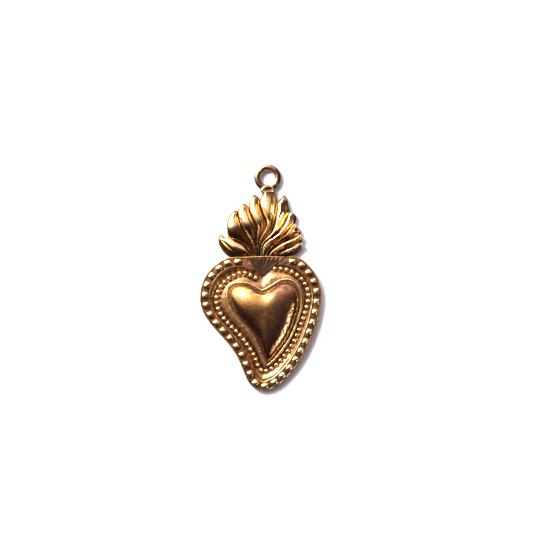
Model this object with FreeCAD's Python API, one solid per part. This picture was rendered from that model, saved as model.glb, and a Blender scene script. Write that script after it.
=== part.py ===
import FreeCAD, Part
import math
import os

from FreeCAD import Vector

# A flaming-heart votive charm in brass, hanging by its ring. Sizes are in millimetres.
# X runs to the right, Z runs up, and the face looks along -Y. The origin is the middle of the
# ring's bore. A height is how far a point stands in front of the flat back.

# Ring and the solder collar that holds it
ring_bore_radius = 0.9
ring_band_width = 0.765
ring_outer_radius = ring_bore_radius + ring_band_width
ring_depth = 1.0
ring_wall_length = 0.5
ring_edge_round = 0.25
ring_edge_drop = 0.0625
collar_width = 1.7
collar_depth = 0.8
collar_wing = 0.35
collar_cover = 0.08
collar_cover_wing = 0.7
collar_cover_shoulder = 0.3

# Sheets
plate_thickness = 0.3
sheet_thickness = 0.25
overrun = 0.5

# Flames
flame_width = 10.6
flame_height = 8.14
flame_root_shift = -0.444
neck_length = 0.16
flame_side_height = 0.35
flame_middle_rise = 0.5
flame_crown_rise = 0.36
flame_crown_lean_share = 0.42
flame_seam = 0.05
flame_tip_width = 0.12
flame_sections = 9
flame_edge_points = 30
flame_side_top = plate_thickness + flame_side_height
flame_space = flame_side_top + flame_middle_rise + flame_crown_rise + overrun

# Heart
heart_width = 14.9
heart_height = 16.62
heart_shift = -0.832
ledge_height = 0.85
valley_height = 0.62
margin_height = 0.96
heart_stations = 28

# Border: lip, knobs and ridge, each measured inwards from the heart's edge
trim_clearance = 0.03
lip_width = 0.17
lip_rise = 0.14
lip_round = 0.05
knob_length = 0.84
knob_inset = lip_width + trim_clearance + knob_length / 2
knob_width = 1.0
knob_pitch = 1.27
knob_gap_left = 3.28
knob_gap_right = 2.55
ridge_inset = knob_inset + knob_length / 2 + trim_clearance
ridge_width = 0.18
ridge_rise = 0.2
ridge_crest_share = 0.6
ridge_gap_left = 2.5
ridge_gap_right = 2.2

# Row of beads in the valley
bead_radius = 0.3
bead_sink = 0.06
bead_pitch = 0.72
bead_seat_clearance = 0.02
bead_seat_width = 2 * bead_radius + bead_seat_clearance
valley_wall_least = 0.06
valley_wall_share = 0.75
bead_gap_left = 0.62
bead_gap_right = 2.15

# Domed heart and the thin wire round it
rim_wire_width = 0.25
rim_wire_rise = 0.2
rim_wire_round = 0.07
dome_rise = 1.56
dome_roundness = 2.3
dome_top_share = 0.06
dome_level_shares = (0.0, 0.03, 0.11, 0.24, 0.42, 0.62, 0.8, 1.0)

# Fluted fan in the cleft
fan_inset = lip_width + trim_clearance
fan_gap_left = 2.1
fan_gap_right = 2.15
fan_rise = 0.34
fan_apex_rise = 0.12
fan_flute_depth = 0.13
fan_flutes = 8
fan_apex_width = 0.3

# The heart's lines, from its top to its tip: shares of its width from its middle, and of its
# height from its top
edge_left_shares = (
    (0.031, 0.0), (-0.057, 0.003), (-0.164, 0.007), (-0.269, 0.013), (-0.363, 0.058),
    (-0.45, 0.142), (-0.498, 0.261), (-0.49, 0.38), (-0.412, 0.504), (-0.285, 0.631),
    (-0.191, 0.752), (-0.119, 0.901), (-0.063, 0.972), (0.019, 1.0),
)
edge_right_shares = (
    (0.031, 0.0), (0.117, 0.003), (0.216, 0.003), (0.308, 0.012), (0.392, 0.067),
    (0.464, 0.157), (0.499, 0.261), (0.493, 0.383), (0.44, 0.563), (0.347, 0.744),
    (0.199, 0.915), (0.107, 0.976), (0.019, 1.0),
)
bead_left_shares = (
    (0.0, 0.162), (-0.052, 0.157), (-0.098, 0.135), (-0.146, 0.123), (-0.21, 0.139),
    (-0.288, 0.182), (-0.346, 0.251), (-0.369, 0.323), (-0.349, 0.395), (-0.283, 0.484),
    (-0.176, 0.58), (-0.098, 0.672), (-0.04, 0.766), (-0.012, 0.828), (0.021, 0.856),
)
bead_right_shares = (
    (0.0, 0.162), (0.039, 0.119), (0.096, 0.095), (0.163, 0.092), (0.245, 0.111),
    (0.324, 0.159), (0.378, 0.231), (0.39, 0.309), (0.368, 0.395), (0.321, 0.521),
    (0.259, 0.648), (0.168, 0.761), (0.086, 0.831), (0.021, 0.856),
)
rim_left_shares = (
    (0.011, 0.255), (-0.035, 0.233), (-0.088, 0.208), (-0.144, 0.197), (-0.206, 0.199),
    (-0.258, 0.221), (-0.277, 0.276), (-0.268, 0.353), (-0.235, 0.415), (-0.167, 0.496),
    (-0.085, 0.574), (-0.025, 0.65), (0.008, 0.734), (0.054, 0.81),
)
rim_right_shares = (
    (0.011, 0.255), (0.062, 0.234), (0.12, 0.2), (0.188, 0.175), (0.254, 0.181),
    (0.307, 0.227), (0.332, 0.292), (0.325, 0.398), (0.279, 0.528), (0.221, 0.635),
    (0.142, 0.73), (0.097, 0.777), (0.054, 0.81),
)
dome_left_shares = (
    (0.013, 0.266), (-0.035, 0.251), (-0.088, 0.226), (-0.146, 0.215), (-0.201, 0.22),
    (-0.242, 0.246), (-0.252, 0.301), (-0.24, 0.362), (-0.202, 0.423), (-0.134, 0.496),
    (-0.065, 0.568), (-0.01, 0.65), (0.024, 0.731), (0.056, 0.788),
)
dome_right_shares = (
    (0.013, 0.266), (0.067, 0.251), (0.125, 0.218), (0.188, 0.196), (0.246, 0.202),
    (0.292, 0.242), (0.312, 0.298), (0.306, 0.395), (0.261, 0.521), (0.203, 0.625),
    (0.129, 0.718), (0.087, 0.763), (0.056, 0.788),
)
dome_top_shares = (0.03, 0.4)

# The flames' lines, from root to tip: shares of the crown's width from its root, and of its
# height above its root. A groove is the line that two neighbouring flames share.
groove_shares = (
    ((-0.133, 0.021), (-0.174, 0.082), (-0.247, 0.17), (-0.326, 0.229), (-0.408, 0.285)),
    ((-0.101, 0.008), (-0.109, 0.097), (-0.14, 0.185), (-0.193, 0.302), (-0.247, 0.417),
     (-0.281, 0.518), (-0.299, 0.614), (-0.307, 0.676)),
    ((-0.084, 0.008), (-0.086, 0.121), (-0.083, 0.255), (-0.081, 0.371), (-0.091, 0.476),
     (-0.123, 0.561), (-0.156, 0.658), (-0.174, 0.724)),
    ((-0.066, 0.008), (-0.066, 0.121), (-0.053, 0.235), (-0.023, 0.327), (0.012, 0.417),
     (0.023, 0.511), (-0.005, 0.621), (-0.038, 0.742), (-0.048, 0.836)),
    ((-0.048, 0.008), (-0.044, 0.114), (-0.019, 0.206), (0.029, 0.279), (0.077, 0.355),
     (0.112, 0.47), (0.133, 0.603), (0.15, 0.718), (0.16, 0.803)),
    ((-0.023, 0.008), (-0.024, 0.118), (0.005, 0.2), (0.07, 0.258), (0.151, 0.336),
     (0.212, 0.448), (0.259, 0.571), (0.302, 0.668)),
    ((0.009, 0.008), (0.04, 0.085), (0.084, 0.15), (0.145, 0.238), (0.199, 0.285),
     (0.252, 0.336), (0.306, 0.415), (0.359, 0.494)),
    ((0.042, 0.008), (0.07, 0.07), (0.128, 0.136), (0.195, 0.194), (0.279, 0.244),
     (0.367, 0.3), (0.424, 0.33)),
    ((0.123, 0.006), (0.192, 0.058), (0.273, 0.115), (0.35, 0.162), (0.436, 0.203)),
)
crown_left_shares = (
    (-0.147, -0.009), (-0.279, -0.015), (-0.412, -0.003), (-0.491, 0.097), (-0.529, 0.203),
    (-0.527, 0.285),
)
crown_right_shares = ((0.156, -0.015), (0.279, -0.006), (0.366, 0.027), (0.416, 0.073))
# Where the back plate's crown runs on behind the heart
crown_seat_shares = ((0.15, -0.12), (-0.15, -0.12))
# Each flame's free edge: left of its tip, the tip, and right of it, from the groove outwards
free_edge_shares = {
    "flame_left_low": ((), (-0.505, 0.327), ((-0.449, 0.276), (-0.478, 0.306))),
    "flame_left_outer": (
        ((-0.426, 0.364), (-0.429, 0.455), (-0.414, 0.576), (-0.381, 0.648)), (-0.326, 0.694), (),
    ),
    "flame_left_middle": (((-0.286, 0.739),), (-0.234, 0.8), ((-0.198, 0.767),)),
    "flame_left_inner": (((-0.166, 0.829),), (-0.119, 0.93), ((-0.071, 0.897),)),
    "flame_centre": (((-0.031, 0.903),), (0.055, 0.961), ((0.149, 0.87),)),
    "flame_right_inner": (((0.193, 0.873),), (0.24, 0.924), ((0.288, 0.748), (0.273, 0.842))),
    "flame_right_upper": ((), (0.351, 0.645), ((0.374, 0.6),)),
    "flame_right_middle": (((0.391, 0.436),), (0.428, 0.379), ()),
    "flame_right_lower": (((0.444, 0.288),), (0.452, 0.245), ()),
    "flame_right_foot": (((0.451, 0.167),), (0.447, 0.124), ()),
}
flame_neck_shares = ((-0.016, 0.961), (0.126, 0.961))

back_y = ring_depth / 2
neck_z = -(ring_outer_radius + neck_length)
flame_root_z = neck_z - flame_height * flame_neck_shares[0][1]
heart_top_z = flame_root_z


def place(point, height):
    """The point of the face plane, moved to its height in front of the back."""
    return Vector(point.x, back_y - height, point.z)


def curve_through(points):
    """A smooth edge through the points."""
    curve = Part.BSplineCurve()
    curve.interpolate(Points=points)
    return curve.toShape()


def line(start, end):
    """A straight edge."""
    return Part.LineSegment(start, end).toShape()


def valid_solid(faces):
    """The solid that the faces close, turned the right way out."""
    shell = Part.Shell(faces)
    shell.sewShape()
    solid = Part.Solid(shell)
    if solid.Volume < 0:
        solid.reverse()
    return solid


def heart_point(across, down):
    """A point from its shares of the heart's width and height."""
    return Vector(heart_shift + across * heart_width, 0, heart_top_z - down * heart_height)


def flame_point(across, up):
    """A point from its shares of the flames' width and height."""
    return Vector(flame_root_shift + across * flame_width, 0, flame_root_z + up * flame_height)


def heart_line(left_shares, right_shares):
    """A heart-shaped line as its left and right halves, each evenly spaced from top to tip."""
    halves = []
    for shares in (left_shares, right_shares):
        edge = curve_through([heart_point(*share) for share in shares])
        halves.append(edge.discretize(Number=heart_stations + 1))
    return halves


def around(heart):
    """The points of a heart-shaped line, once round: down its left half, up its right one."""
    left, right = heart
    return left + right[-2:0:-1]


def inward_at(points, index):
    """The direction into the heart at one of its points."""
    along = points[(index + 1) % len(points)] - points[index - 1]
    return Vector(-along.z, 0, along.x).normalize()


def inset(heart, distance):
    """The heart-shaped line moved inwards."""
    points = around(heart)
    moved = [p + inward_at(points, i) * distance for i, p in enumerate(points)]
    return [moved[: heart_stations + 1], moved[:1] + moved[: heart_stations - 1 : -1]]


def towards(heart, centre, share):
    """The heart-shaped line shrunk towards a point."""
    return [[p + (centre - p) * share for p in half] for half in heart]


def outline(heart, height):
    """The closed wire of a heart-shaped line at a height."""
    return Part.Wire([curve_through([place(p, height) for p in half]) for half in heart])


def closed_band(corners):
    """A ring-shaped solid from its section's corners: heart-shaped lines with their heights."""
    faces = []
    for (heart, height), (next_heart, next_height) in zip(corners, corners[1:] + corners[:1]):
        if height == next_height:
            wires = [outline(heart, height), outline(next_heart, height)]
            faces.append(Part.makeFace(wires, "Part::FaceMakerBullseye"))
            continue
        for half, next_half in zip(heart, next_heart):
            edge = curve_through([place(p, height) for p in half])
            next_edge = curve_through([place(p, next_height) for p in next_half])
            faces.append(Part.makeRuledSurface(edge, next_edge))
    return valid_solid(faces)


def open_band(corners):
    """A strip-shaped solid from its section's corners: lists of points with their heights."""
    rows = [[place(p, height) for p in points] for points, height in corners]
    faces = []
    for row, next_row in zip(rows, rows[1:] + rows[:1]):
        faces.append(Part.makeRuledSurface(curve_through(row), curve_through(next_row)))
    for end in (0, -1):
        first, *rest = [row[end] for row in rows]
        for corner, next_corner in zip(rest, rest[1:]):
            faces.append(Part.Face(Part.makePolygon([first, corner, next_corner, first])))
    return valid_solid(faces)


def spaced(points, start_gap, end_gap, pitch):
    """Places and directions along the points, evenly spaced near the pitch between two gaps."""
    edge = curve_through(points)
    length = edge.Length - start_gap - end_gap
    steps = max(round(length / pitch), 1)
    result = []
    for step in range(steps + 1):
        at = edge.getParameterByLength(start_gap + length * step / steps)
        result.append((edge.valueAt(at), edge.tangentAt(at).normalize()))
    return result


def rounded_strip(outer, inner, outer_round, inner_round, base, rise, rounding):
    """Section corners of a low wire between two lines, with its upper corners taken off."""
    return [
        (outer, base), (outer, base + rise - rounding), (outer_round, base + rise),
        (inner_round, base + rise), (inner, base + rise - rounding), (inner, base),
    ]


def ridge_edge(distance):
    """The ridge's open curve, at a distance from the heart's edge."""
    row = curve_through(around(inset(edge_line, distance)))
    first = row.getParameterByLength(ridge_gap_left)
    last = row.getParameterByLength(row.Length - ridge_gap_right)
    return Part.Edge(row.Curve, first, last)


def clear_of_ridge(heart):
    """The bead line, moved in wherever a bead would come too near the ridge."""
    foot = ridge_edge(ridge_inset + ridge_width)
    points = around(heart)
    moved = []
    for index, point in enumerate(points):
        gap = Part.Vertex(point).distToShape(foot)[0]
        shift = max(bead_radius + trim_clearance - gap, 0)
        moved.append(point + inward_at(points, index) * shift)
    return [moved[: heart_stations + 1], moved[:1] + moved[: heart_stations - 1 : -1]]


edge_line = heart_line(edge_left_shares, edge_right_shares)
bead_line = clear_of_ridge(heart_line(bead_left_shares, bead_right_shares))
rim_line = heart_line(rim_left_shares, rim_right_shares)
dome_line = heart_line(dome_left_shares, dome_right_shares)
dome_centre = heart_point(*dome_top_shares)


def crown_outline():
    """The flames' silhouette, from the heart's left shoulder round every tip and back behind it."""
    points = [flame_point(*share) for share in crown_left_shares[2:]]
    edges = []
    for number, (name, (left, tip, right)) in enumerate(free_edge_shares.items()):
        tips = flame_neck_shares if name == "flame_centre" else (tip,)
        points += [flame_point(*share) for share in left + tips[:1]]
        edges.append(curve_through(points) if len(points) > 2 else line(*points))
        if len(tips) > 1:
            edges.append(line(flame_point(*tips[0]), flame_point(*tips[1])))
        points = [flame_point(*share) for share in tips[-1:] + right[::-1]]
        if number < len(groove_shares):
            points.append(flame_point(*groove_shares[number][-1]))
        else:
            points += [flame_point(*share) for share in crown_right_shares[:0:-1]]
        edges.append(curve_through(points) if len(points) > 2 else line(*points))
        points = points[-1:]
    seat = points + [flame_point(*share) for share in crown_seat_shares + crown_left_shares[2:3]]
    return edges + [line(point, next_point) for point, next_point in zip(seat, seat[1:])]


def make_back_plate():
    """The sawn sheet behind heart and flames."""
    up = Vector(0, -plate_thickness, 0)
    heart = Part.Face(outline(edge_line, 0)).extrude(up)
    crown_wire = Part.Wire(Part.__sortEdges__(crown_outline()))
    crown = Part.Face(crown_wire)
    crown.translate(Vector(0, back_y, 0))
    return heart.fuse(crown.extrude(up)).removeSplitter()


def ledge_step():
    """Where the ledge ends and the valley's wall begins, most of the way out to the ridge."""
    foot = around(inset(edge_line, ridge_inset + ridge_width))
    valley = around(inset(bead_line, -bead_seat_width / 2))
    step = []
    for index, point in enumerate(valley):
        outward = inward_at(valley, index) * -1
        reach = (foot[index] - point).dot(outward) * valley_wall_share
        step.append(point + outward * max(reach, valley_wall_least))
    return [step[: heart_stations + 1], step[:1] + step[: heart_stations - 1 : -1]]


def make_heart_body():
    """The pressed pan: outer wall, border ledge, bead valley, and margin round the opening."""
    edge_inside = inset(edge_line, sheet_thickness)
    step = ledge_step()
    valley_outer = inset(bead_line, -bead_seat_width / 2)
    valley_inner = inset(bead_line, bead_seat_width / 2)
    margin = inset(rim_line, -rim_wire_width / 2)
    opening = inset(dome_line, sheet_thickness)
    return closed_band([
        (edge_line, plate_thickness),
        (edge_line, ledge_height),
        (step, ledge_height),
        (valley_outer, valley_height),
        (valley_inner, valley_height),
        (margin, margin_height),
        (opening, margin_height),
        (opening, margin_height - sheet_thickness),
        (margin, margin_height - sheet_thickness),
        (valley_inner, valley_height - sheet_thickness),
        (valley_outer, valley_height - sheet_thickness),
        (step, ledge_height - sheet_thickness),
        (edge_inside, ledge_height - sheet_thickness),
        (edge_inside, plate_thickness),
    ])


def make_edge_wire():
    """The raised lip round the heart's edge."""
    inner = inset(edge_line, lip_width)
    outer_round = inset(edge_line, lip_round)
    inner_round = inset(edge_line, lip_width - lip_round)
    return closed_band(
        rounded_strip(edge_line, inner, outer_round, inner_round, ledge_height, lip_rise, lip_round)
    )


def make_ridge_wire():
    """The crest between knobs and beads, open under the flames."""
    width = ridge_width
    crest = width * ridge_crest_share
    rows = []
    for distance in (0, (width - crest) / 2, (width + crest) / 2, width):
        rows.append(ridge_edge(ridge_inset + distance).discretize(Number=2 * heart_stations))
    base = ledge_height
    top = base + ridge_rise
    return open_band([(rows[0], base), (rows[1], top), (rows[2], top), (rows[3], base)])


def make_border_knobs():
    """The knobs on the border: half-barrels that lie across it."""
    knobs = []
    places = spaced(around(inset(edge_line, knob_inset)), knob_gap_left, knob_gap_right, knob_pitch)
    for point, along in places:
        centre = place(point, ledge_height)
        inward = Vector(-along.z, 0, along.x)
        ends = [centre - inward * knob_length / 2, centre + inward * knob_length / 2]
        side = centre - along * knob_width / 2
        arc = Part.Arc(ends[0], side, ends[1]).toShape()
        face = Part.Face(Part.Wire([arc, line(ends[1], ends[0])]))
        knobs.append(face.revolve(centre, inward, 180))
    return Part.makeCompound(knobs)


def make_bead_row():
    """The fine beads on the valley's floor."""
    low_angle = math.degrees(math.asin(-(bead_radius - bead_sink) / bead_radius))
    left, right = bead_line
    beads = []
    for half, gap in ((left, bead_gap_left), (right, bead_gap_right)):
        places = spaced(half, gap, bead_pitch / 2, bead_pitch)
        for point, _ in places:
            centre = place(point, valley_height + bead_radius - bead_sink)
            beads.append(Part.makeSphere(bead_radius, centre, Vector(0, -1, 0), low_angle, 90, 360))
    return Part.makeCompound(beads)


def make_dome_rim_wire():
    """The thin wire round the foot of the dome."""
    half = rim_wire_width / 2
    lines = [inset(rim_line, d) for d in (-half, half, rim_wire_round - half, half - rim_wire_round)]
    return closed_band(rounded_strip(*lines, margin_height, rim_wire_rise, rim_wire_round))


def dome_level(heart, share, foot, rise):
    """One outline of the dome: the share of the way from its foot to its top."""
    roundness = dome_roundness
    height = foot + rise * (1 - (1 - share) ** roundness) ** (1 / roundness)
    return outline(towards(heart, dome_centre, share * (1 - dome_top_share)), height)


def make_heart_dome():
    """The hollow puffed heart."""
    inner_line = inset(dome_line, sheet_thickness)
    outer = [dome_level(dome_line, share, margin_height, dome_rise) for share in dome_level_shares]
    inner = [
        dome_level(inner_line, share, margin_height, dome_rise - sheet_thickness)
        for share in dome_level_shares
    ]
    below = outline(inner_line, margin_height - overrun)
    hollow = Part.makeLoft(inner, True, False)
    mouth = Part.makeLoft([below, inner[0]], True, True)
    return Part.makeLoft(outer, True, False).cut(hollow).cut(mouth)


def make_cleft_fan():
    """The fluted fan between the flames' foot and the heart's cleft."""
    left, right = inset(edge_line, fan_inset)
    arc = curve_through(left[::-1] + right[1:])
    top = curve_through(left[::-1]).Length
    apex = bead_line[0][0]
    start = arc.getParameterByLength(top - fan_gap_left)
    end = arc.getParameterByLength(top + fan_gap_right)
    rays = 2 * fan_flutes
    wires = []
    for ray, outer in enumerate(Part.Edge(arc.Curve, start, end).discretize(Number=rays + 1)):
        spread = fan_apex_width * (ray / rays - 1 / 2)
        inner = apex + Vector(spread, 0, fan_apex_width)
        dip = fan_flute_depth * (ray % 2)
        corners = [
            place(inner, ledge_height), place(outer, ledge_height),
            place(outer, ledge_height + fan_rise - dip),
            place(inner, ledge_height + fan_apex_rise),
        ]
        wires.append(Part.makePolygon(corners + corners[:1]))
    return Part.makeLoft(wires, True, True)


def seam_edge(groove, turn):
    """A groove's points, drawn into a flame by half the seam; turn is 1 on the flame's left side."""
    edge = curve_through(groove).discretize(Number=flame_edge_points)
    last = len(edge) - 1
    moved = []
    for number, point in enumerate(edge):
        along = (edge[min(number + 1, last)] - edge[max(number - 1, 0)]).normalize()
        moved.append(point + Vector(along.z, 0, -along.x) * turn * flame_seam / 2)
    return moved


def flame_face(left_groove, left_free, right_groove, right_free):
    """A flame's own outline: its two grooves less the seam, and its free edges up to the tip."""
    left, right = seam_edge(left_groove, 1), seam_edge(right_groove, -1)
    edges = [curve_through(left), curve_through(right), line(left[0], right[0])]
    for side, free in ((left, left_free), (right, right_free)):
        points = side[-1:] + free
        edges.append(curve_through(points) if len(points) > 2 else line(*points))
    if left_free[-1] != right_free[-1]:
        edges.append(line(left_free[-1], right_free[-1]))
    face = Part.Face(Part.Wire(Part.__sortEdges__(edges)))
    face.translate(Vector(0, back_y, 0))
    return face


def flame_section(start, end, across, bulge):
    """A domed section between two points of a flame's edges, a little wider than the flame."""
    middle = (start + end) / 2
    half = max(start.distanceToPoint(end), flame_tip_width) / 2
    side = flame_side_top + flame_middle_rise * bulge
    crown = side + min(flame_crown_rise, half)
    lean = middle + across * (2 * flame_crown_lean_share - 1) * half
    near, far = middle - across * half, middle + across * half
    near_skirt, far_skirt = near - across * flame_seam, far + across * flame_seam
    corners = [
        place(near, side), place(near_skirt, side), place(near_skirt, plate_thickness),
        place(far_skirt, plate_thickness), place(far_skirt, side), place(far, side),
    ]
    edges = [line(corner, corner_after) for corner, corner_after in zip(corners, corners[1:])]
    edges.append(Part.Arc(corners[-1], place(lean, crown), corners[0]).toShape())
    return Part.Wire(edges)


def make_flame(left_groove, left_free, right_groove, right_free):
    """One flame: a domed loft from root to tip, trimmed to the flame's own outline."""
    left = curve_through(left_groove + left_free).discretize(Number=flame_sections)
    right = curve_through(right_groove + right_free).discretize(Number=flame_sections)
    for end, before in ((0, 1), (-1, -2)):
        past = ((left[end] + right[end] - left[before] - right[before]) / 2).normalize() * flame_seam
        left[end], right[end] = left[end] + past, right[end] + past
    sections = []
    across = None
    for number, (start, end) in enumerate(zip(left, right)):
        if start.distanceToPoint(end) > flame_tip_width:
            across = (end - start).normalize()
        bulge = math.sin(math.pi * number / (flame_sections - 1))
        sections.append(flame_section(start, end, across, bulge))
    face = flame_face(left_groove, left_free, right_groove, right_free)
    return Part.makeLoft(sections, True, False).common(face.extrude(Vector(0, -flame_space, 0)))


def make_flames():
    """Every flame by its name, from the left root to the right one."""
    flames = {}
    heart_face = Part.Face(outline(inset(edge_line, -flame_seam / 2), 0))
    heart_space = heart_face.extrude(Vector(0, -flame_space, 0))
    lefts = (crown_left_shares,) + groove_shares
    rights = groove_shares + (crown_right_shares,)
    rows = zip(free_edge_shares.items(), lefts, rights)
    for (name, (left, tip, right)), left_groove, right_groove in rows:
        tips = flame_neck_shares if name == "flame_centre" else (tip, tip)
        shares = (left_groove, left + tips[:1], right_groove, right + tips[1:])
        lines = [[flame_point(*share) for share in points] for points in shares]
        flames[name] = make_flame(*lines).cut(heart_space)
    return flames


def make_suspension_ring():
    """The ring: a straight bore with a round outside."""
    band_middle = (ring_bore_radius + ring_outer_radius) / 2
    corner = Vector(ring_bore_radius, ring_wall_length / 2, 0)
    crest = Vector(band_middle, ring_depth / 2, 0)
    crown = Vector(ring_outer_radius, 0, 0)
    bend = Vector(ring_bore_radius + ring_edge_round, ring_depth / 2 - ring_edge_drop, 0)

    def mirrored(point):
        return Vector(point.x, -point.y, point.z)

    section = Part.Wire([
        line(mirrored(corner), corner),
        Part.Arc(corner, bend, crest).toShape(),
        Part.Arc(crest, crown, mirrored(crest)).toShape(),
        Part.Arc(mirrored(crest), mirrored(bend), mirrored(corner)).toShape(),
    ])
    return Part.Face(section).revolve(Vector(0, 0, 0), Vector(0, 1, 0), 360)


def make_ring_collar():
    """The solder collar between the ring and the top of the centre flame."""
    low = Vector(-collar_width / 2, -collar_depth / 2, neck_z)
    block = Part.makeBox(collar_width, collar_depth, neck_length + collar_wing, low)
    foot = [Vector(side * collar_width / 2, 0, neck_z) for side in (-1, 1)]
    shoulder = [point + Vector(0, 0, collar_cover_shoulder) for point in foot]
    top = Vector(0, 0, neck_z + neck_length + collar_cover_wing)
    edges = [line(shoulder[0], foot[0]), line(*foot), line(foot[1], shoulder[1])]
    edges.append(Part.Arc(shoulder[1], top, shoulder[0]).toShape())
    cover = Part.Face(Part.Wire(edges)).extrude(Vector(0, -(ring_depth / 2 + collar_cover), 0))
    return block.fuse(cover).cut(make_suspension_ring()).removeSplitter()


pieces = {
    "back_plate": make_back_plate(),
    "heart_body": make_heart_body(),
    "edge_wire": make_edge_wire(),
    "border_knobs": make_border_knobs(),
    "ridge_wire": make_ridge_wire(),
    "bead_row": make_bead_row(),
    "dome_rim_wire": make_dome_rim_wire(),
    "heart_dome": make_heart_dome(),
    "cleft_fan": make_cleft_fan(),
    "suspension_ring": make_suspension_ring(),
    "ring_collar": make_ring_collar(),
}
pieces.update(make_flames())

os.makedirs("parts", exist_ok=True)
for name, shape in pieces.items():
    print(f"{name}: {len(shape.Solids)} solids, {shape.Volume:.3f} mm3, valid {shape.isValid()}")
    shape.exportStep(f"parts/{name}.step")
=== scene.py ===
import logging
import math
import random
from dataclasses import dataclass
from enum import Enum

import bpy
import numpy as np
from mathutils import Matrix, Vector, noise


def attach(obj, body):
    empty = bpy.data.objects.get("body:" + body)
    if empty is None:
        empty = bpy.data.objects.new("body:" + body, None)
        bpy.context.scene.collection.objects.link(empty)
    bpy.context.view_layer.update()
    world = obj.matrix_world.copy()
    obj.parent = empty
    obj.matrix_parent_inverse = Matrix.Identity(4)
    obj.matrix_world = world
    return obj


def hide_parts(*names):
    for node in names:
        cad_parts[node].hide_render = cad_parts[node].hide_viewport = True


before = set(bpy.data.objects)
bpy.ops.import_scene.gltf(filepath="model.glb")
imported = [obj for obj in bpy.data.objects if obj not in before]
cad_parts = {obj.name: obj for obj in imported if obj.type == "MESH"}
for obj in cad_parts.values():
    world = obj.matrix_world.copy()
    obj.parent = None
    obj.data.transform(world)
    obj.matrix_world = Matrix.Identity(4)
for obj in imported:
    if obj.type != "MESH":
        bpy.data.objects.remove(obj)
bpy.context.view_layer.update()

log = logging.getLogger("charm")

# Sizes are in millimetres, as in the CAD source, and become metres when a mesh is laid.
MM = 0.001
BODY = "root"
BACK_Y = 0.5
PLATE = 0.3
LEDGE = 0.85
VALLEY = 0.62
MARGIN = 0.96
SHEET = 0.25
RING_BORE = 0.9
RING_BAND = 0.765
RING_DEPTH = 1.0
RING_OUTSIDE = RING_BORE + RING_BAND
NECK = 0.16
NECK_Z = -(RING_OUTSIDE + NECK)
FLAME_HEIGHT = 8.14
FLAME_WIDTH = 10.6
FLAME_SHIFT = -0.444
NECK_SHARE = 0.961
FLAME_ROOT_Z = NECK_Z - FLAME_HEIGHT * NECK_SHARE
HEART_WIDTH = 14.9
HEART_HEIGHT = 16.62
HEART_SHIFT = -0.832
LIP = 0.17
TRIM_GAP = 0.03
KNOB_LENGTH = 0.84
KNOB_INSET = LIP + TRIM_GAP + KNOB_LENGTH / 2
RIDGE_INSET = KNOB_INSET + KNOB_LENGTH / 2 + TRIM_GAP
RIDGE_WIDTH = 0.18
BEAD_RADIUS = 0.3
BEAD_SINK = 0.06
BEAD_SEAT = 2 * BEAD_RADIUS + 0.02
VALLEY_WALL_LEAST = 0.06
VALLEY_WALL_SHARE = 0.75
RIM_WIRE = 0.25
DOME_SPAN = 8.3

HEART_STATIONS = 28
HALF_STATIONS = 150
CURVE_DENSITY = 24
SPACING_DENSITY = 2000
CORNER_SHARE = 0.46
TINY = 1e-6
WELD_M = 2e-7
SMOOTH_ANGLE = math.radians(50)

Array = np.ndarray
Object = bpy.types.Object
Pair = tuple[float, float]
Triple = tuple[float, float, float]
Span = tuple[float, float, float, float]
Shares = tuple[Pair, ...]
Place = tuple[Array, Array]
Setting = tuple[Array, Array, float, Triple]
Corner = tuple[Array, float, float, float | Array]
Socket = bpy.types.NodeSocket
Value = Socket | float | tuple[float, ...]

# The heart's lines from its top to its tip, and the flames' lines from root to tip, as shares of
# their width and height, the same as in the CAD source.
EDGE_LEFT: Shares = (
    (0.031, 0.0), (-0.057, 0.003), (-0.164, 0.007), (-0.269, 0.013), (-0.363, 0.058),
    (-0.45, 0.142), (-0.498, 0.261), (-0.49, 0.38), (-0.412, 0.504), (-0.285, 0.631),
    (-0.191, 0.752), (-0.119, 0.901), (-0.063, 0.972), (0.019, 1.0),
)
EDGE_RIGHT: Shares = (
    (0.031, 0.0), (0.117, 0.003), (0.216, 0.003), (0.308, 0.012), (0.392, 0.067),
    (0.464, 0.157), (0.499, 0.261), (0.493, 0.383), (0.44, 0.563), (0.347, 0.744),
    (0.199, 0.915), (0.107, 0.976), (0.019, 1.0),
)
BEAD_LEFT: Shares = (
    (0.0, 0.162), (-0.052, 0.157), (-0.098, 0.135), (-0.146, 0.123), (-0.21, 0.139),
    (-0.288, 0.182), (-0.346, 0.251), (-0.369, 0.323), (-0.349, 0.395), (-0.283, 0.484),
    (-0.176, 0.58), (-0.098, 0.672), (-0.04, 0.766), (-0.012, 0.828), (0.021, 0.856),
)
BEAD_RIGHT: Shares = (
    (0.0, 0.162), (0.039, 0.119), (0.096, 0.095), (0.163, 0.092), (0.245, 0.111),
    (0.324, 0.159), (0.378, 0.231), (0.39, 0.309), (0.368, 0.395), (0.321, 0.521),
    (0.259, 0.648), (0.168, 0.761), (0.086, 0.831), (0.021, 0.856),
)
RIM_LEFT: Shares = (
    (0.011, 0.255), (-0.035, 0.233), (-0.088, 0.208), (-0.144, 0.197), (-0.206, 0.199),
    (-0.258, 0.221), (-0.277, 0.276), (-0.268, 0.353), (-0.235, 0.415), (-0.167, 0.496),
    (-0.085, 0.574), (-0.025, 0.65), (0.008, 0.734), (0.054, 0.81),
)
RIM_RIGHT: Shares = (
    (0.011, 0.255), (0.062, 0.234), (0.12, 0.2), (0.188, 0.175), (0.254, 0.181),
    (0.307, 0.227), (0.332, 0.292), (0.325, 0.398), (0.279, 0.528), (0.221, 0.635),
    (0.142, 0.73), (0.097, 0.777), (0.054, 0.81),
)
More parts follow.
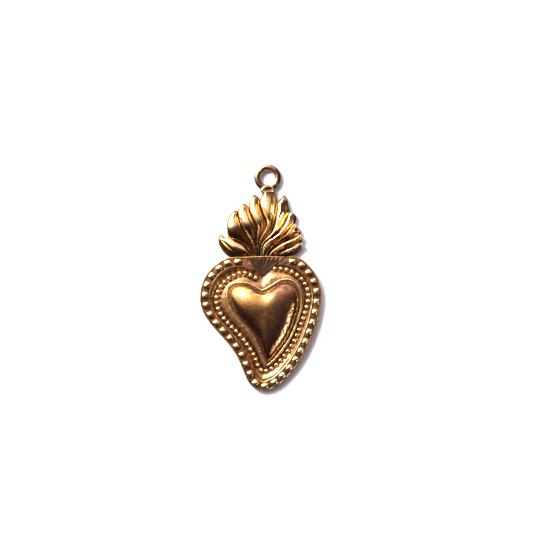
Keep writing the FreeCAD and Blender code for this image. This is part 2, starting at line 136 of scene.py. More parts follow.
DOME_LEFT: Shares = (
    (0.013, 0.266), (-0.035, 0.251), (-0.088, 0.226), (-0.146, 0.215), (-0.201, 0.22),
    (-0.242, 0.246), (-0.252, 0.301), (-0.24, 0.362), (-0.202, 0.423), (-0.134, 0.496),
    (-0.065, 0.568), (-0.01, 0.65), (0.024, 0.731), (0.056, 0.788),
)
DOME_RIGHT: Shares = (
    (0.013, 0.266), (0.067, 0.251), (0.125, 0.218), (0.188, 0.196), (0.246, 0.202),
    (0.292, 0.242), (0.312, 0.298), (0.306, 0.395), (0.261, 0.521), (0.203, 0.625),
    (0.129, 0.718), (0.087, 0.763), (0.056, 0.788),
)
DOME_TOP: Pair = (0.03, 0.4)
GROOVES: tuple[Shares, ...] = (
    ((-0.133, 0.021), (-0.174, 0.082), (-0.247, 0.17), (-0.326, 0.229), (-0.408, 0.285)),
    ((-0.101, 0.008), (-0.109, 0.097), (-0.14, 0.185), (-0.193, 0.302), (-0.247, 0.417),
     (-0.281, 0.518), (-0.299, 0.614), (-0.307, 0.676)),
    ((-0.084, 0.008), (-0.086, 0.121), (-0.083, 0.255), (-0.081, 0.371), (-0.091, 0.476),
     (-0.123, 0.561), (-0.156, 0.658), (-0.174, 0.724)),
    ((-0.066, 0.008), (-0.066, 0.121), (-0.053, 0.235), (-0.023, 0.327), (0.012, 0.417),
     (0.023, 0.511), (-0.005, 0.621), (-0.038, 0.742), (-0.048, 0.836)),
    ((-0.048, 0.008), (-0.044, 0.114), (-0.019, 0.206), (0.029, 0.279), (0.077, 0.355),
     (0.112, 0.47), (0.133, 0.603), (0.15, 0.718), (0.16, 0.803)),
    ((-0.023, 0.008), (-0.024, 0.118), (0.005, 0.2), (0.07, 0.258), (0.151, 0.336),
     (0.212, 0.448), (0.259, 0.571), (0.302, 0.668)),
    ((0.009, 0.008), (0.04, 0.085), (0.084, 0.15), (0.145, 0.238), (0.199, 0.285),
     (0.252, 0.336), (0.306, 0.415), (0.359, 0.494)),
    ((0.042, 0.008), (0.07, 0.07), (0.128, 0.136), (0.195, 0.194), (0.279, 0.244),
     (0.367, 0.3), (0.424, 0.33)),
    ((0.123, 0.006), (0.192, 0.058), (0.273, 0.115), (0.35, 0.162), (0.436, 0.203)),
)
CROWN_LEFT: Shares = (
    (-0.147, -0.009), (-0.279, -0.015), (-0.412, -0.003), (-0.491, 0.097), (-0.529, 0.203),
    (-0.527, 0.285),
)
CROWN_RIGHT: Shares = ((0.156, -0.015), (0.279, -0.006), (0.366, 0.027), (0.416, 0.073))
FREE_EDGES: dict[str, tuple[Shares, Pair, Shares]] = {
    "flame_left_low": ((), (-0.505, 0.327), ((-0.449, 0.276), (-0.478, 0.306))),
    "flame_left_outer": (
        ((-0.426, 0.364), (-0.429, 0.455), (-0.414, 0.576), (-0.381, 0.648)), (-0.326, 0.694), (),
    ),
    "flame_left_middle": (((-0.286, 0.739),), (-0.234, 0.8), ((-0.198, 0.767),)),
    "flame_left_inner": (((-0.166, 0.829),), (-0.119, 0.93), ((-0.071, 0.897),)),
    "flame_centre": (((-0.031, 0.903),), (0.055, 0.961), ((0.149, 0.87),)),
    "flame_right_inner": (((0.193, 0.873),), (0.24, 0.924), ((0.288, 0.748), (0.273, 0.842))),
    "flame_right_upper": ((), (0.351, 0.645), ((0.374, 0.6),)),
    "flame_right_middle": (((0.391, 0.436),), (0.428, 0.379), ()),
    "flame_right_lower": (((0.444, 0.288),), (0.452, 0.245), ()),
    "flame_right_foot": (((0.451, 0.167),), (0.447, 0.124), ()),
}
FLAME_NECK: Shares = ((-0.016, 0.961), (0.126, 0.961))


@dataclass(frozen=True)
class FlameLooks:
    """Where a flame's crest runs, its crease, where it is painted dark with shade and patina, and
    the band of its vein, raised and painted pale.
    """

    lean: float
    root_crown: float
    crease: float
    crease_place: float
    peak: float
    belly: float
    dark_from: float
    band: Pair

    def broad(self) -> bool:
        """Whether a broad band runs along the flame's left edge and not a fine vein."""
        return self.band[1] > BROAD_BAND


BROAD_BAND = 0.145
FLAME_LOOKS: dict[str, FlameLooks] = {
    "flame_left_low": FlameLooks(0.62, 0.7, 0.12, 0.45, 0.5, 0.3, 1.0, (0.12, 0.1)),
    "flame_left_outer": FlameLooks(0.42, 0.1, 0.08, 0.8, 0.66, 0.6, 0.85, (0.15, 0.13)),
    "flame_left_middle": FlameLooks(0.38, 0.1, 0.14, 0.72, 0.56, 0.54, 0.85, (0.15, 0.13)),
    "flame_left_inner": FlameLooks(0.4, 0.1, 0.08, 0.7, 0.5, 0.52, 0.82, (0.15, 0.13)),
    "flame_centre": FlameLooks(0.32, 0.1, 0.16, 0.72, 0.62, 0.68, 0.8, (0.17, 0.14)),
    "flame_right_inner": FlameLooks(0.36, 0.2, 0.06, 0.6, 0.32, 0.42, 0.86, (0.36, 0.31)),
    "flame_right_upper": FlameLooks(0.3, 0.2, 0.08, 0.62, 0.3, 0.5, 0.88, (0.32, 0.26)),
    "flame_right_middle": FlameLooks(0.22, 0.2, 0.05, 0.7, 0.3, 0.5, 0.5, (0.24, 0.18)),
    "flame_right_lower": FlameLooks(0.22, 0.2, 0.05, 0.7, 0.3, 0.5, 0.5, (0.3, 0.21)),
    "flame_right_foot": FlameLooks(0.25, 0.2, 0.05, 0.7, 0.3, 0.4, 0.5, (0.24, 0.18)),
}


class Slot(Enum):
    """The record's material slots."""

    BACK = "back_brass"
    RELIEF = "relief_brass"
    BEAD = "bead_brass"
    POLISHED = "polished_brass"
    FLAME = "flame_brass"
    RING = "ring_brass"


def on_face(shares: Shares, middle: float, width: float, height: float) -> Array:
    """Points (x, z) from shares of a width and of a height above the flames' root."""
    table = np.array(shares)
    return np.stack([middle + table[:, 0] * width, FLAME_ROOT_Z + table[:, 1] * height], axis=1)


def heart_points(shares: Shares) -> Array:
    """Points (x, z) from shares of the heart's width and of its height, down from its top."""
    return on_face(shares, HEART_SHIFT, HEART_WIDTH, -HEART_HEIGHT)


def flame_points(shares: Shares) -> Array:
    """Points (x, z) from shares of the flames' width and height, up from their root."""
    return on_face(shares, FLAME_SHIFT, FLAME_WIDTH, FLAME_HEIGHT)


def lengths(points: Array) -> Array:
    """How far along a line each of its points lies."""
    return np.concatenate([[0.0], np.cumsum(np.linalg.norm(np.diff(points, axis=0), axis=1))])


def points_at(line: Array, wanted: Array) -> Array:
    """The points of a line at the wanted lengths along it."""
    run = lengths(line)
    return np.stack([np.interp(wanted, run, column) for column in line.T], axis=1)


def smooth_line(points: Array, count: int) -> Array:
    """Evenly spaced points on the smooth curve through the given ones.

    Args:
        points: The points to go through, one per row.
        count: How many points to return.
    Returns:
        An array of count rows.
    """
    steps = np.linalg.norm(np.diff(points, axis=0), axis=1)
    at = np.concatenate([[0.0], np.cumsum(steps)])
    size = len(points)
    matrix = np.eye(size)
    right = np.zeros_like(points)
    for i in range(1, size - 1):
        matrix[i, i - 1:i + 2] = (steps[i - 1], 2 * (steps[i - 1] + steps[i]), steps[i])
        right[i] = 6 * ((points[i + 1] - points[i]) / steps[i]
                        - (points[i] - points[i - 1]) / steps[i - 1])
    bend = np.linalg.solve(matrix, right)
    dense = np.linspace(0, at[-1], CURVE_DENSITY * size)
    i = np.clip(np.searchsorted(at, dense, side="right") - 1, 0, size - 2)
    step = steps[i][:, None]
    before = (dense - at[i])[:, None]
    after = step - before
    curve = (bend[i] * after ** 3 + bend[i + 1] * before ** 3) / (6 * step)
    curve += (points[i] / step - bend[i] * step / 6) * after
    curve += (points[i + 1] / step - bend[i + 1] * step / 6) * before
    return points_at(curve, np.linspace(0, lengths(curve)[-1], count))


@dataclass(frozen=True)
class HeartLine:
    """A heart-shaped line: its coarse points, once round from the top down the left half."""

    points: Array

    @classmethod
    def through(cls, left: Shares, right: Shares) -> "HeartLine":
        """The line through the shares of its two halves."""
        halves = [smooth_line(heart_points(shares), HEART_STATIONS + 1) for shares in (left, right)]
        return cls(np.concatenate([halves[0], halves[1][-2:0:-1]]))

    def inward(self) -> Array:
        """Which way the heart's inside lies.

        Returns:
            A unit direction for each point.
        """
        along = np.roll(self.points, -1, axis=0) - np.roll(self.points, 1, axis=0)
        across = np.stack([-along[:, 1], along[:, 0]], axis=1)
        return across / np.linalg.norm(across, axis=1)[:, None]

    def inset(self, distance: float) -> "HeartLine":
        """The line moved inwards by a distance."""
        return HeartLine(self.points + self.inward() * distance)

    def halves(self) -> tuple[Array, Array]:
        """The coarse points of the left and of the right half, both from the top down."""
        right = np.concatenate([self.points[:1], self.points[:HEART_STATIONS - 1:-1]])
        return self.points[:HEART_STATIONS + 1], right

    def fine(self) -> Array:
        """The line as many points, once round, with the same number in each half."""
        left, right = (smooth_line(half, HALF_STATIONS + 1) for half in self.halves())
        return np.concatenate([left, right[-2:0:-1]])


EDGE = HeartLine.through(EDGE_LEFT, EDGE_RIGHT)
BEADS = HeartLine.through(BEAD_LEFT, BEAD_RIGHT)
RIM = HeartLine.through(RIM_LEFT, RIM_RIGHT)
DOME = HeartLine.through(DOME_LEFT, DOME_RIGHT)


def raised(line: Array, height: float | Array) -> Array:
    """A line of the face plane, moved to its height in front of the back.

    Args:
        line: Points (x, z).
        height: One height, or one for each point.
    Returns:
        Points (x, y, z).
    """
    return np.stack([line[:, 0], np.full(len(line), BACK_Y) - height, line[:, 1]], axis=1)


def eased(value: Array | float, low: float, high: float) -> Array:
    """A smooth step of the value, from 0 at low to 1 at high."""
    share = np.clip((np.asarray(value, dtype=float) - low) / (high - low), 0, 1)
    return share * share * (3 - 2 * share)


def between(value: Array, span: Span) -> Array:
    """A smooth step up from the first to the second value, down from the fourth to the third."""
    return eased(value, *span[:2]) * eased(value, *span[2:])


def hump(value: Array, place: float, width: float) -> Array:
    """A smooth hump of height 1 at a place."""
    return np.exp(-((value - place) / width) ** 2)


def rounded_section(corners: list[Corner], steps: int) -> tuple[Array, Array]:
    """Rows of points that go round a closed section, with each corner rounded.

    Args:
        corners: For each corner its line (x, z), its height, its rounding and its patina and
            painted light.
        steps: Points on each rounding.
    Returns:
        An array of rows, each with a point for every station, and each point's patina and painted
        light.
    """
    lines = [raised(line, height) for line, height, _, _ in corners]
    rows = []
    tarnish_and_painted_light_map = []
    for number, (_, _, rounding, tarnish_and_painted_light) in enumerate(corners):
        row = lines[number]
        if rounding == 0:
            rows.append(row)
            tarnish_and_painted_light_map.append(tarnish_and_painted_light)
            continue
        tarnish_and_painted_light_map += [tarnish_and_painted_light] * steps
        ends = []
        for other in (lines[number - 1], lines[(number + 1) % len(lines)]):
            way = other - row
            length = np.maximum(np.linalg.norm(way, axis=1), TINY)[:, None]
            ends.append(row + way / length * np.minimum(rounding, CORNER_SHARE * length))
        for share in np.linspace(0, 1, steps):
            rows.append(ends[0] * (1 - share) ** 2 + row * 2 * share * (1 - share)
                        + ends[1] * share ** 2)
    grid = np.array(rows)
    return grid, np.array([np.broadcast_to(tarnish_and_painted_light, grid.shape[1]) for tarnish_and_painted_light in tarnish_and_painted_light_map])


def clear_selection() -> None:
    """Leaves edit mode and deselects everything."""
    if bpy.context.object and bpy.context.object.mode != "OBJECT":
        bpy.ops.object.mode_set(mode="OBJECT")
    bpy.ops.object.select_all(action="DESELECT")


def set_tarnish_and_painted_light(mesh: bpy.types.Mesh, tarnish_and_painted_light_map: Array) -> None:
    """Writes each point's patina and painted light, which its finish reads: 0 is clean and 1 is
    dark, from patina and painted shade, and below 0 is a painted pale highlight.
    """
    mesh.attributes.new("tarnish_and_painted_light", "FLOAT", "POINT")
    mesh.attributes["tarnish_and_painted_light"].data.foreach_set("value", tarnish_and_painted_light_map.astype(np.float32).ravel())


def lay_grid(name: str, rows: Array, across: bool, along: bool, tarnish_and_painted_light_map: Array) -> Object:
    """A grid laid on rows of points, joined to itself where it closes.

    Args:
        name: The piece's name.
        rows: Points in millimetres, row by row.
        across: Whether the last row joins the first.
        along: Whether each row's end joins its start.
        tarnish_and_painted_light_map: Each point's patina, painted shade and painted highlight.
    Returns:
        The new piece, closed and facing outwards.
    """
    if across:
        rows, tarnish_and_painted_light_map = np.concatenate([rows, rows[:1]]), np.concatenate([tarnish_and_painted_light_map, tarnish_and_painted_light_map[:1]])
    if along:
        rows = np.concatenate([rows, rows[:, :1]], axis=1)
        tarnish_and_painted_light_map = np.concatenate([tarnish_and_painted_light_map, tarnish_and_painted_light_map[:, :1]], axis=1)
    high, wide = rows.shape[:2]
    clear_selection()
    bpy.ops.mesh.primitive_grid_add(x_subdivisions=wide - 1, y_subdivisions=high - 1, size=1)
    piece = bpy.context.object
    piece.name = name
    piece.data.name = name
    piece.data.vertices.foreach_set("co", (rows * MM).astype(np.float32).ravel())
    set_tarnish_and_painted_light(piece.data, tarnish_and_painted_light_map)
    bpy.ops.object.mode_set(mode="EDIT")
    bpy.ops.mesh.select_all(action="SELECT")
    bpy.ops.mesh.remove_doubles(threshold=WELD_M)
    bpy.ops.mesh.select_all(action="DESELECT")
    bpy.ops.mesh.select_mode(type="EDGE")
    bpy.ops.mesh.select_non_manifold()
    bpy.ops.mesh.fill_holes(sides=0)
    bpy.ops.mesh.select_all(action="SELECT")
    bpy.ops.mesh.normals_make_consistent(inside=False)
    bpy.ops.object.mode_set(mode="OBJECT")
    bpy.ops.object.shade_smooth_by_angle(angle=SMOOTH_ANGLE)
    return piece


def join_pieces(name: str, parts: list[Object]) -> Object:
    """One piece from several, each with its place applied.

    Args:
        name: The joined piece's name.
        parts: The objects to join.
    Returns:
        The joined piece.
    """
    clear_selection()
    for part in parts:
        part.select_set(True)
    bpy.context.view_layer.objects.active = parts[0]
    bpy.ops.object.transform_apply(location=True, rotation=True, scale=True)
    bpy.ops.object.join()
    piece = bpy.context.object
    piece.name = name
    piece.data.name = name
    return piece


def spaced(line: Array, start: float, end: float, pitch: float) -> list[Place]:
    """Places and directions on a line, evenly spaced between two gaps.

    Args:
        line: Points (x, z).
        start: The gap before the first place.
        end: The gap after the last place.
        pitch: The spacing to come near to.
    Returns:
        For each place its point and its unit direction.
    """
    fine = smooth_line(line, SPACING_DENSITY)
    run = lengths(fine)
    length = run[-1] - start - end
    steps = max(round(length / pitch), 1)
    result = []
    for step in range(steps + 1):
        index = int(np.searchsorted(run, start + length * step / steps))
        index = min(max(index, 1), len(fine) - 2)
        along = fine[index + 1] - fine[index - 1]
        result.append((fine[index], along / np.linalg.norm(along)))
    return result


@dataclass(frozen=True)
class Wiring:
    """Adds nodes to the tree of a material or of the world, and wires them up."""

    tree: bpy.types.NodeTree

    def fill(self, socket: Socket, value: Value) -> None:
        """Links an input to another socket or gives it a value, opaque if it is a colour.

        Args:
            socket: The input.
            value: The other socket, or the value.
        """
        if isinstance(value, bpy.types.NodeSocket):
            self.tree.links.new(value, socket)
        else:
            socket.default_value = (*value, 1.0) if socket.type == "RGBA" else value

    def add(self, kind: str, inputs: dict[str | int, Value] | None = None,
            **settings: str | int) -> bpy.types.Node:
        """Adds a node, sets it up and fills its inputs.

        Args:
            kind: The node's kind, without the words that all kinds begin with.
            inputs: What each input, named or numbered, is linked to or set to.
            settings: The node's own settings.
        Returns:
            The node.
        """
        node = self.tree.nodes.new("ShaderNode" + kind)
        for key, setting in settings.items():
            setattr(node, key, setting)
        for key, value in (inputs or {}).items():
            self.fill(node.inputs[key], value)
        return node

    def mixed(self, share: Socket, under: Value, over: Value) -> Socket:
        """One colour laid over another by a share."""
        return self.add("Mix", {0: share, 6: under, 7: over}, data_type="RGBA").outputs[2]

    def joined(self, kind: str, first: Value, second: Value) -> Socket:
        """Two numbers joined by a sum of the named kind, kept from 0 to 1."""
        return self.add("Math", {0: first, 1: second}, operation=kind, use_clamp=True).outputs[0]

    def ranged(self, value: Value, source: Pair, target: Pair = (0, 1),
               steps: str = "LINEAR") -> Socket:
        """A number moved from one range to another.

        Args:
            value: The number.
            source: The range that it is read in.
            target: The range that it is moved to.
            steps: The way from one end to the other.
        Returns:
            The moved number.
        """
        names = ("Value", "From Min", "From Max", "To Min", "To Max")
        inputs = dict(zip(names, (value, *source, *target)))
        return self.add("MapRange", inputs, interpolation_type=steps).outputs["Result"]


@dataclass(frozen=True)
class BrassFinish:
    """A brass finish: its colours, its polish, how its recesses have darkened, and the painted
    shade and painted highlights that its attribute lays on.

    The reach and the depths are in millimetres. Each cloud is its scale to the metre and its
    detail, and each other reach is the range in which its effect comes or goes.
    """

    name: str
    base: Triple
    warm: Triple
    patina_and_shade: Triple
    polish: Pair
    reach: float
    strength: float
    wear: float
    dents: float
    grain: float
    steep_tarnish: float = 0.85
    aged_rough: float = 0.25
    evenness: float = 0.55
    # The colour of the painted highlights.
    pale: Triple = (1.0, 0.85, 0.52)
    crest_gain: float = 1.15
    dent_depth: float = 0.08
    grain_depth: float = 0.02
    tone_cloud: Pair = (420, 3)
    blotch_cloud: Pair = (900, 4)
    streak_cloud: Pair = (1500, 3)
    scuff_cloud: Pair = (2600, 5)
    dent_cloud: Pair = (1100, 3)
    grain_cloud: Pair = (4500, 4)
    tone_reach: Pair = (0.35, 0.65)
    hidden_reach: Pair = (0.35, 0.95)
    blotch_reach: Pair = (0.3, 0.7)
    blotch_gain: Pair = (0.6, 1.25)
    steep_reach: Pair = (0.2, 0.72)
    streak_reach: Pair = (0.32, 0.52)
    not_darkened_reach: Pair = (0.2, 0.8)
    edge_reach: Pair = (0.52, 0.62)
    scuff_reach: Pair = (0.3, 0.7)
    samples: int = 8

    def material(self) -> bpy.types.Material:
        """Wires the finish up as a node material on object coordinates.

        Returns:
            The material.
        """
        made = bpy.data.materials.new(self.name)
        made.use_nodes = True
        wires = Wiring(made.node_tree)
        place = wires.add("TexCoord").outputs["Object"]

        def cloud(scale: float, detail: float) -> Socket:
            """A noise on the piece's own coordinates."""
            inputs = {"Scale": scale, "Detail": detail, "Vector": place}
            return wires.add("TexNoise", inputs).outputs["Fac"]

        tone = wires.ranged(cloud(*self.tone_cloud), self.tone_reach)
        colour = wires.mixed(tone, self.base, self.warm)
        distance = {"Distance": self.reach * MM}
        recess = wires.add("AmbientOcclusion", distance, samples=self.samples).outputs["AO"]
        hidden = wires.ranged(recess, self.hidden_reach, (self.strength, 0))
        blotch = wires.ranged(cloud(*self.blotch_cloud), self.blotch_reach, self.blotch_gain)
        surface = wires.add("NewGeometry").outputs
        split = wires.add("SeparateXYZ", {"Vector": surface["Normal"]})
        turned = wires.add("Math", {0: split.outputs["Y"]}, operation="ABSOLUTE").outputs[0]
        steep = wires.ranged(turned, self.steep_reach, (self.steep_tarnish, 0))
        painted = wires.add("Attribute", attribute_name="tarnish_and_painted_light").outputs["Fac"]
        shaded = wires.joined("MULTIPLY", wires.joined("MAXIMUM", hidden, steep), blotch)
        even = wires.ranged(cloud(*self.streak_cloud), self.streak_reach, (self.evenness, 1.0))
        # The painted attribute lays painted shade, with patina, over the recess patina and the
        # darker steep sides. All of these take the patina_and_shade colour.
        dark = wires.joined("MAXIMUM", shaded, wires.joined("MULTIPLY", painted, even))
        colour = wires.mixed(dark, colour, self.patina_and_shade)
        not_darkened = wires.ranged(painted, self.not_darkened_reach, (1, 0))
        edges = wires.ranged(surface["Pointiness"], self.edge_reach, (0, self.wear))
        crest = tuple(min(1.0, self.crest_gain * part) for part in self.base)
        colour = wires.mixed(wires.joined("MULTIPLY", edges, not_darkened), colour, crest)
        # Below 0 the painted attribute lays the pale colour on as a painted highlight.
        colour = wires.mixed(wires.ranged(painted, (0, -1)), colour, self.pale)
        scuffed = wires.ranged(cloud(*self.scuff_cloud), self.scuff_reach, self.polish)
        rough = wires.joined("ADD", scuffed, wires.ranged(dark, (0, 1), (0, self.aged_rough)))
        dents = wires.add("Bump", {"Strength": self.dents, "Distance": self.dent_depth * MM,
                                   "Height": cloud(*self.dent_cloud)})
        grain = wires.add("Bump", {"Strength": self.grain, "Distance": self.grain_depth * MM,
                                   "Height": cloud(*self.grain_cloud),
                                   "Normal": dents.outputs["Normal"]})
        shader = made.node_tree.nodes["Principled BSDF"]
        for key, value in (("Metallic", 1.0), ("Base Color", colour), ("Roughness", rough),
                           ("Normal", grain.outputs["Normal"])):
            wires.fill(shader.inputs[key], value)
        return made


FINISHES: dict[Slot, BrassFinish] = {
    Slot.BACK: BrassFinish(
        "brushed_back", (0.66, 0.38, 0.17), (0.58, 0.31, 0.13), (0.12, 0.055, 0.035),
        polish=(0.28, 0.42), reach=0.4, strength=0.6, wear=0.3, dents=0.12, grain=0.4),
    Slot.RELIEF: BrassFinish(
        "satin_relief", (0.88, 0.5, 0.19), (0.75, 0.37, 0.12), (0.17, 0.07, 0.045),
        polish=(0.18, 0.32), reach=0.4, strength=1.0, wear=0.8, dents=1.0, grain=0.8,
        aged_rough=0.18),
    Slot.BEAD: BrassFinish(
        "burnished_bead", (0.97, 0.68, 0.36), (0.88, 0.5, 0.2), (0.15, 0.063, 0.043),
        polish=(0.16, 0.28), reach=0.6, strength=1.0, wear=0.7, dents=0.7, grain=0.5,
        aged_rough=0.15),
    Slot.POLISHED: BrassFinish(
        "polished_dome", (0.7, 0.41, 0.14), (0.6, 0.31, 0.11), (0.24, 0.095, 0.08),
        polish=(0.14, 0.23), reach=0.4, strength=0.8, wear=0.3, dents=0.22, grain=0.5,
        steep_tarnish=0.5, aged_rough=0.12),
    Slot.FLAME: BrassFinish(
        "burnished_flame", (0.93, 0.53, 0.18), (0.84, 0.39, 0.11), (0.12, 0.054, 0.037),
        polish=(0.12, 0.22), reach=0.25, strength=1.0, wear=0.0, dents=0.1, grain=0.4,
        aged_rough=0.13, evenness=0.9),
    Slot.RING: BrassFinish(
        "drawn_ring", (0.8, 0.5, 0.27), (0.6, 0.3, 0.16), (0.09, 0.04, 0.03),
        polish=(0.18, 0.3), reach=0.3, strength=0.9, wear=0.5, dents=0.4, grain=0.5,
        aged_rough=0.12),
}
# A dark brass for the fan in the cleft: partly darker metal and partly painted shade of the cleft.
DIM_FAN_BRASS = BrassFinish(
    "dim_fan_relief", (0.22, 0.115, 0.06), (0.15, 0.07, 0.036), (0.06, 0.028, 0.02),
    polish=(0.3, 0.45), reach=0.8, strength=0.95, wear=0.7, dents=1.0, grain=0.8)


@dataclass
class Workshop:
    """Dresses pieces in their finish and hangs them on the charm's one body."""

    materials: dict[Slot, bpy.types.Material]
    dimmed: bpy.types.Material

    def dress(self, piece: Object, slot: Slot, node: str, dimmed: bool = False) -> None:
        """Gives a piece its finish and its body, and hides the CAD node that it stands for.

        Args:
            piece: The finished piece.
            slot: The slot that it takes its finish from.
            node: The CAD node that it replaces.
            dimmed: Whether it takes the dark fan brass, dark all over, partly as painted shade.
        """
        piece.data.materials.clear()
        piece.data.materials.append(self.dimmed if dimmed else self.materials[slot])
        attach(piece, BODY)
        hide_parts(node)
        log.info("%s: %d vertices", piece.name, len(piece.data.vertices))


@dataclass
class Group:
    """A group of the charm's pieces, which are dressed in one workshop."""

    shop: Workshop

    def sweep(self, name: str, node: str, corners: list[Corner], steps: int = 5,
              closed: bool = True) -> None:
        """Lays and dresses a relief piece with one rounded section all along its way.

        Args:
            name: The piece's name.
            node: The CAD node that it replaces.
            corners: The section's corners.
            steps: Points on each rounding.
            closed: Whether the way is closed.
        """
        rows, tarnish_and_painted_light_map = rounded_section(corners, steps)
        self.shop.dress(lay_grid(name, rows, True, closed, tarnish_and_painted_light_map), Slot.RELIEF, node)


@dataclass
class HeartPan(Group):
    """The pressed pan with its wall, border ledge, bead valley and margin."""

    ledge_round: float = 0.06
    valley_round: float = 0.16
    margin_round: float = 0.3
    wall_fold_share: float = 0.4
    slope_share: float = 0.45
    slope_rise_share: float = 0.8
    facet_span: Span = (0.962, 0.975, 1.0, 0.99)
    facet_shine: float = 1.1
    lit_span: Span = (0.5, 0.57, 0.97, 0.88)

    def ledge_step(self) -> HeartLine:
        """Finds where the ledge ends and the valley's wall begins.

        Returns:
            A line most of the way from the valley to the ridge.
        """
        foot = EDGE.inset(RIDGE_INSET + RIDGE_WIDTH).points
        valley = BEADS.inset(-BEAD_SEAT / 2)
        outward = -valley.inward()
        reach = ((foot - valley.points) * outward).sum(axis=1) * VALLEY_WALL_SHARE
        return HeartLine(valley.points + outward * np.maximum(reach, VALLEY_WALL_LEAST)[:, None])

    def build(self) -> None:
        """Lays the pan and dresses it."""
        inside = EDGE.inset(SHEET).fine()
        edge = EDGE.fine()
        step = self.ledge_step().fine()
        outer = BEADS.inset(-BEAD_SEAT / 2).fine()
        inner = BEADS.inset(BEAD_SEAT / 2).fine()
        margin = RIM.inset(-RIM_WIRE / 2).fine()
        opening = DOME.inset(SHEET).fine()
        fold = outer + (step - outer) * self.wall_fold_share
        slope = inner + (margin - inner) * self.slope_share
        station = np.arange(len(edge)) / len(edge)
        facet = between(station, self.facet_span)
        lit = between(station, self.lit_span)
        fold_height = LEDGE - (LEDGE - VALLEY) * (1 - self.wall_fold_share)
        slope_height = VALLEY + (MARGIN - VALLEY) * self.slope_rise_share
        # The last number of each corner is its patina and painted light. There is patina and
        # painted shade on the ledge, in the valley and on the underside. A painted highlight falls
        # on the valley's outer wall along the right (lit) and on the slope near the top right
        # (facet).
        self.sweep("heart_pan", "heart_body", [
            (edge, PLATE, 0.0, 0.6),
            (edge, LEDGE, self.ledge_round, 1.0),
            (step, LEDGE, self.ledge_round * 2, 0.9),
            (fold, fold_height, 0.0, 0.1 - lit),
            (outer, VALLEY, self.valley_round, 0.9),
            (inner, VALLEY, self.valley_round, 0.9),
            (slope, slope_height, self.margin_round, 0.7 - self.facet_shine * facet),
            (margin, MARGIN, 0.0, 0.85),
            (opening, MARGIN, 0.0, 1.0),
            (opening, MARGIN - SHEET, 0.0, 1.0),
            (margin, MARGIN - SHEET, 0.0, 1.0),
            (inner, VALLEY - SHEET, 0.0, 1.0),
            (outer, VALLEY - SHEET, 0.0, 1.0),
            (step, LEDGE - SHEET, 0.0, 1.0),
            (inside, LEDGE - SHEET, 0.0, 1.0),
            (inside, PLATE, 0.0, 0.6),
        ])


@dataclass
class BorderWires(Group):
    """The lip round the edge, the ridge inside the knobs, and the wire round the dome."""

    wire_steps: int = 6
    lip_rise: float = 0.14
    lip_round: float = 0.07
    lip_bright_reach: Pair = (2.6, 7.0)
    ridge_rise: float = 0.2
    ridge_crest_share: float = 0.6
    ridge_lean: float = 0.08
    ridge_round: float = 0.05
    ridge_density: int = 3000
    ridge_skip: int = 8
    ridge_gap_left: float = 2.5
    ridge_gap_right: float = 2.2
    rim_rise: float = 0.2
    rim_round: float = 0.11
    lit_span: Span = (0.48, 0.58, 0.98, 0.85)

    def lip(self) -> None:
        """Lays the raised lip."""
        outer, inner = EDGE.fine(), EDGE.inset(LIP).fine()
        # The lip is painted dark, as patina and painted shade, except near the top. There it is
        # left bright as a painted highlight, fading out from 2.6 to 7 mm along the edge.
        tarnish_and_painted_light = 0.8 * eased(np.linalg.norm(outer - outer[0], axis=1), *self.lip_bright_reach)
        self.sweep("edge_lip", "edge_wire", [
            (outer, LEDGE, 0.0, 0.8),
            (outer, LEDGE + self.lip_rise, self.lip_round, tarnish_and_painted_light),
            (inner, LEDGE + self.lip_rise, self.lip_round, tarnish_and_painted_light),
            (inner, LEDGE, 0.0, 1.0),
        ], self.wire_steps)

    def ridge(self) -> None:
        """Lays the open crest between knobs and beads."""
        crest = RIDGE_WIDTH * self.ridge_crest_share
        side = (RIDGE_WIDTH - crest) / 2
        rows = []
        for distance in (0, side, side + crest, RIDGE_WIDTH):
            line = EDGE.inset(RIDGE_INSET + distance).points
            dense = smooth_line(line, self.ridge_density)
            run = lengths(dense)
            kept = (run >= self.ridge_gap_left) & (run <= run[-1] - self.ridge_gap_right)
            rows.append(smooth_line(dense[kept][::self.ridge_skip], 2 * HALF_STATIONS))
        top = LEDGE + self.ridge_rise
        station = np.linspace(0, 1, 2 * HALF_STATIONS)
        lit = between(station, self.lit_span)
        # The ridge is painted dark as patina and painted shade. Along the right side, where it
        # faces the light (lit), it is painted pale as a highlight.
        self.sweep("ridge_crest", "ridge_wire", [
            (rows[0], LEDGE, 0.0, 1.0),
            (rows[1], top, self.ridge_round, 0.45 - lit),
            (rows[2], top - self.ridge_lean, self.ridge_round, 0.1 - lit),
            (rows[3], LEDGE, 0.0, 0.3 - lit),
        ], closed=False)

    def rim(self) -> None:
        """Lays the thin wire round the foot of the dome."""
        half = RIM_WIRE / 2
        outer, inner = RIM.inset(-half).fine(), RIM.inset(half).fine()
        top = MARGIN + self.rim_rise
        # The wire's outer crest is painted pale as a highlight, and its feet are painted dark as
        # shade.
        self.sweep("dome_wire", "dome_rim_wire", [
            (outer, MARGIN, 0.0, 0.9),
            (outer, top, self.rim_round, -0.7),
            (inner, top, self.rim_round, 0.0),
            (inner, MARGIN, 0.0, 1.0),
        ], self.wire_steps)

    def build(self) -> None:
        """Lays and dresses the three wires."""
        self.lip()
        self.ridge()
        self.rim()


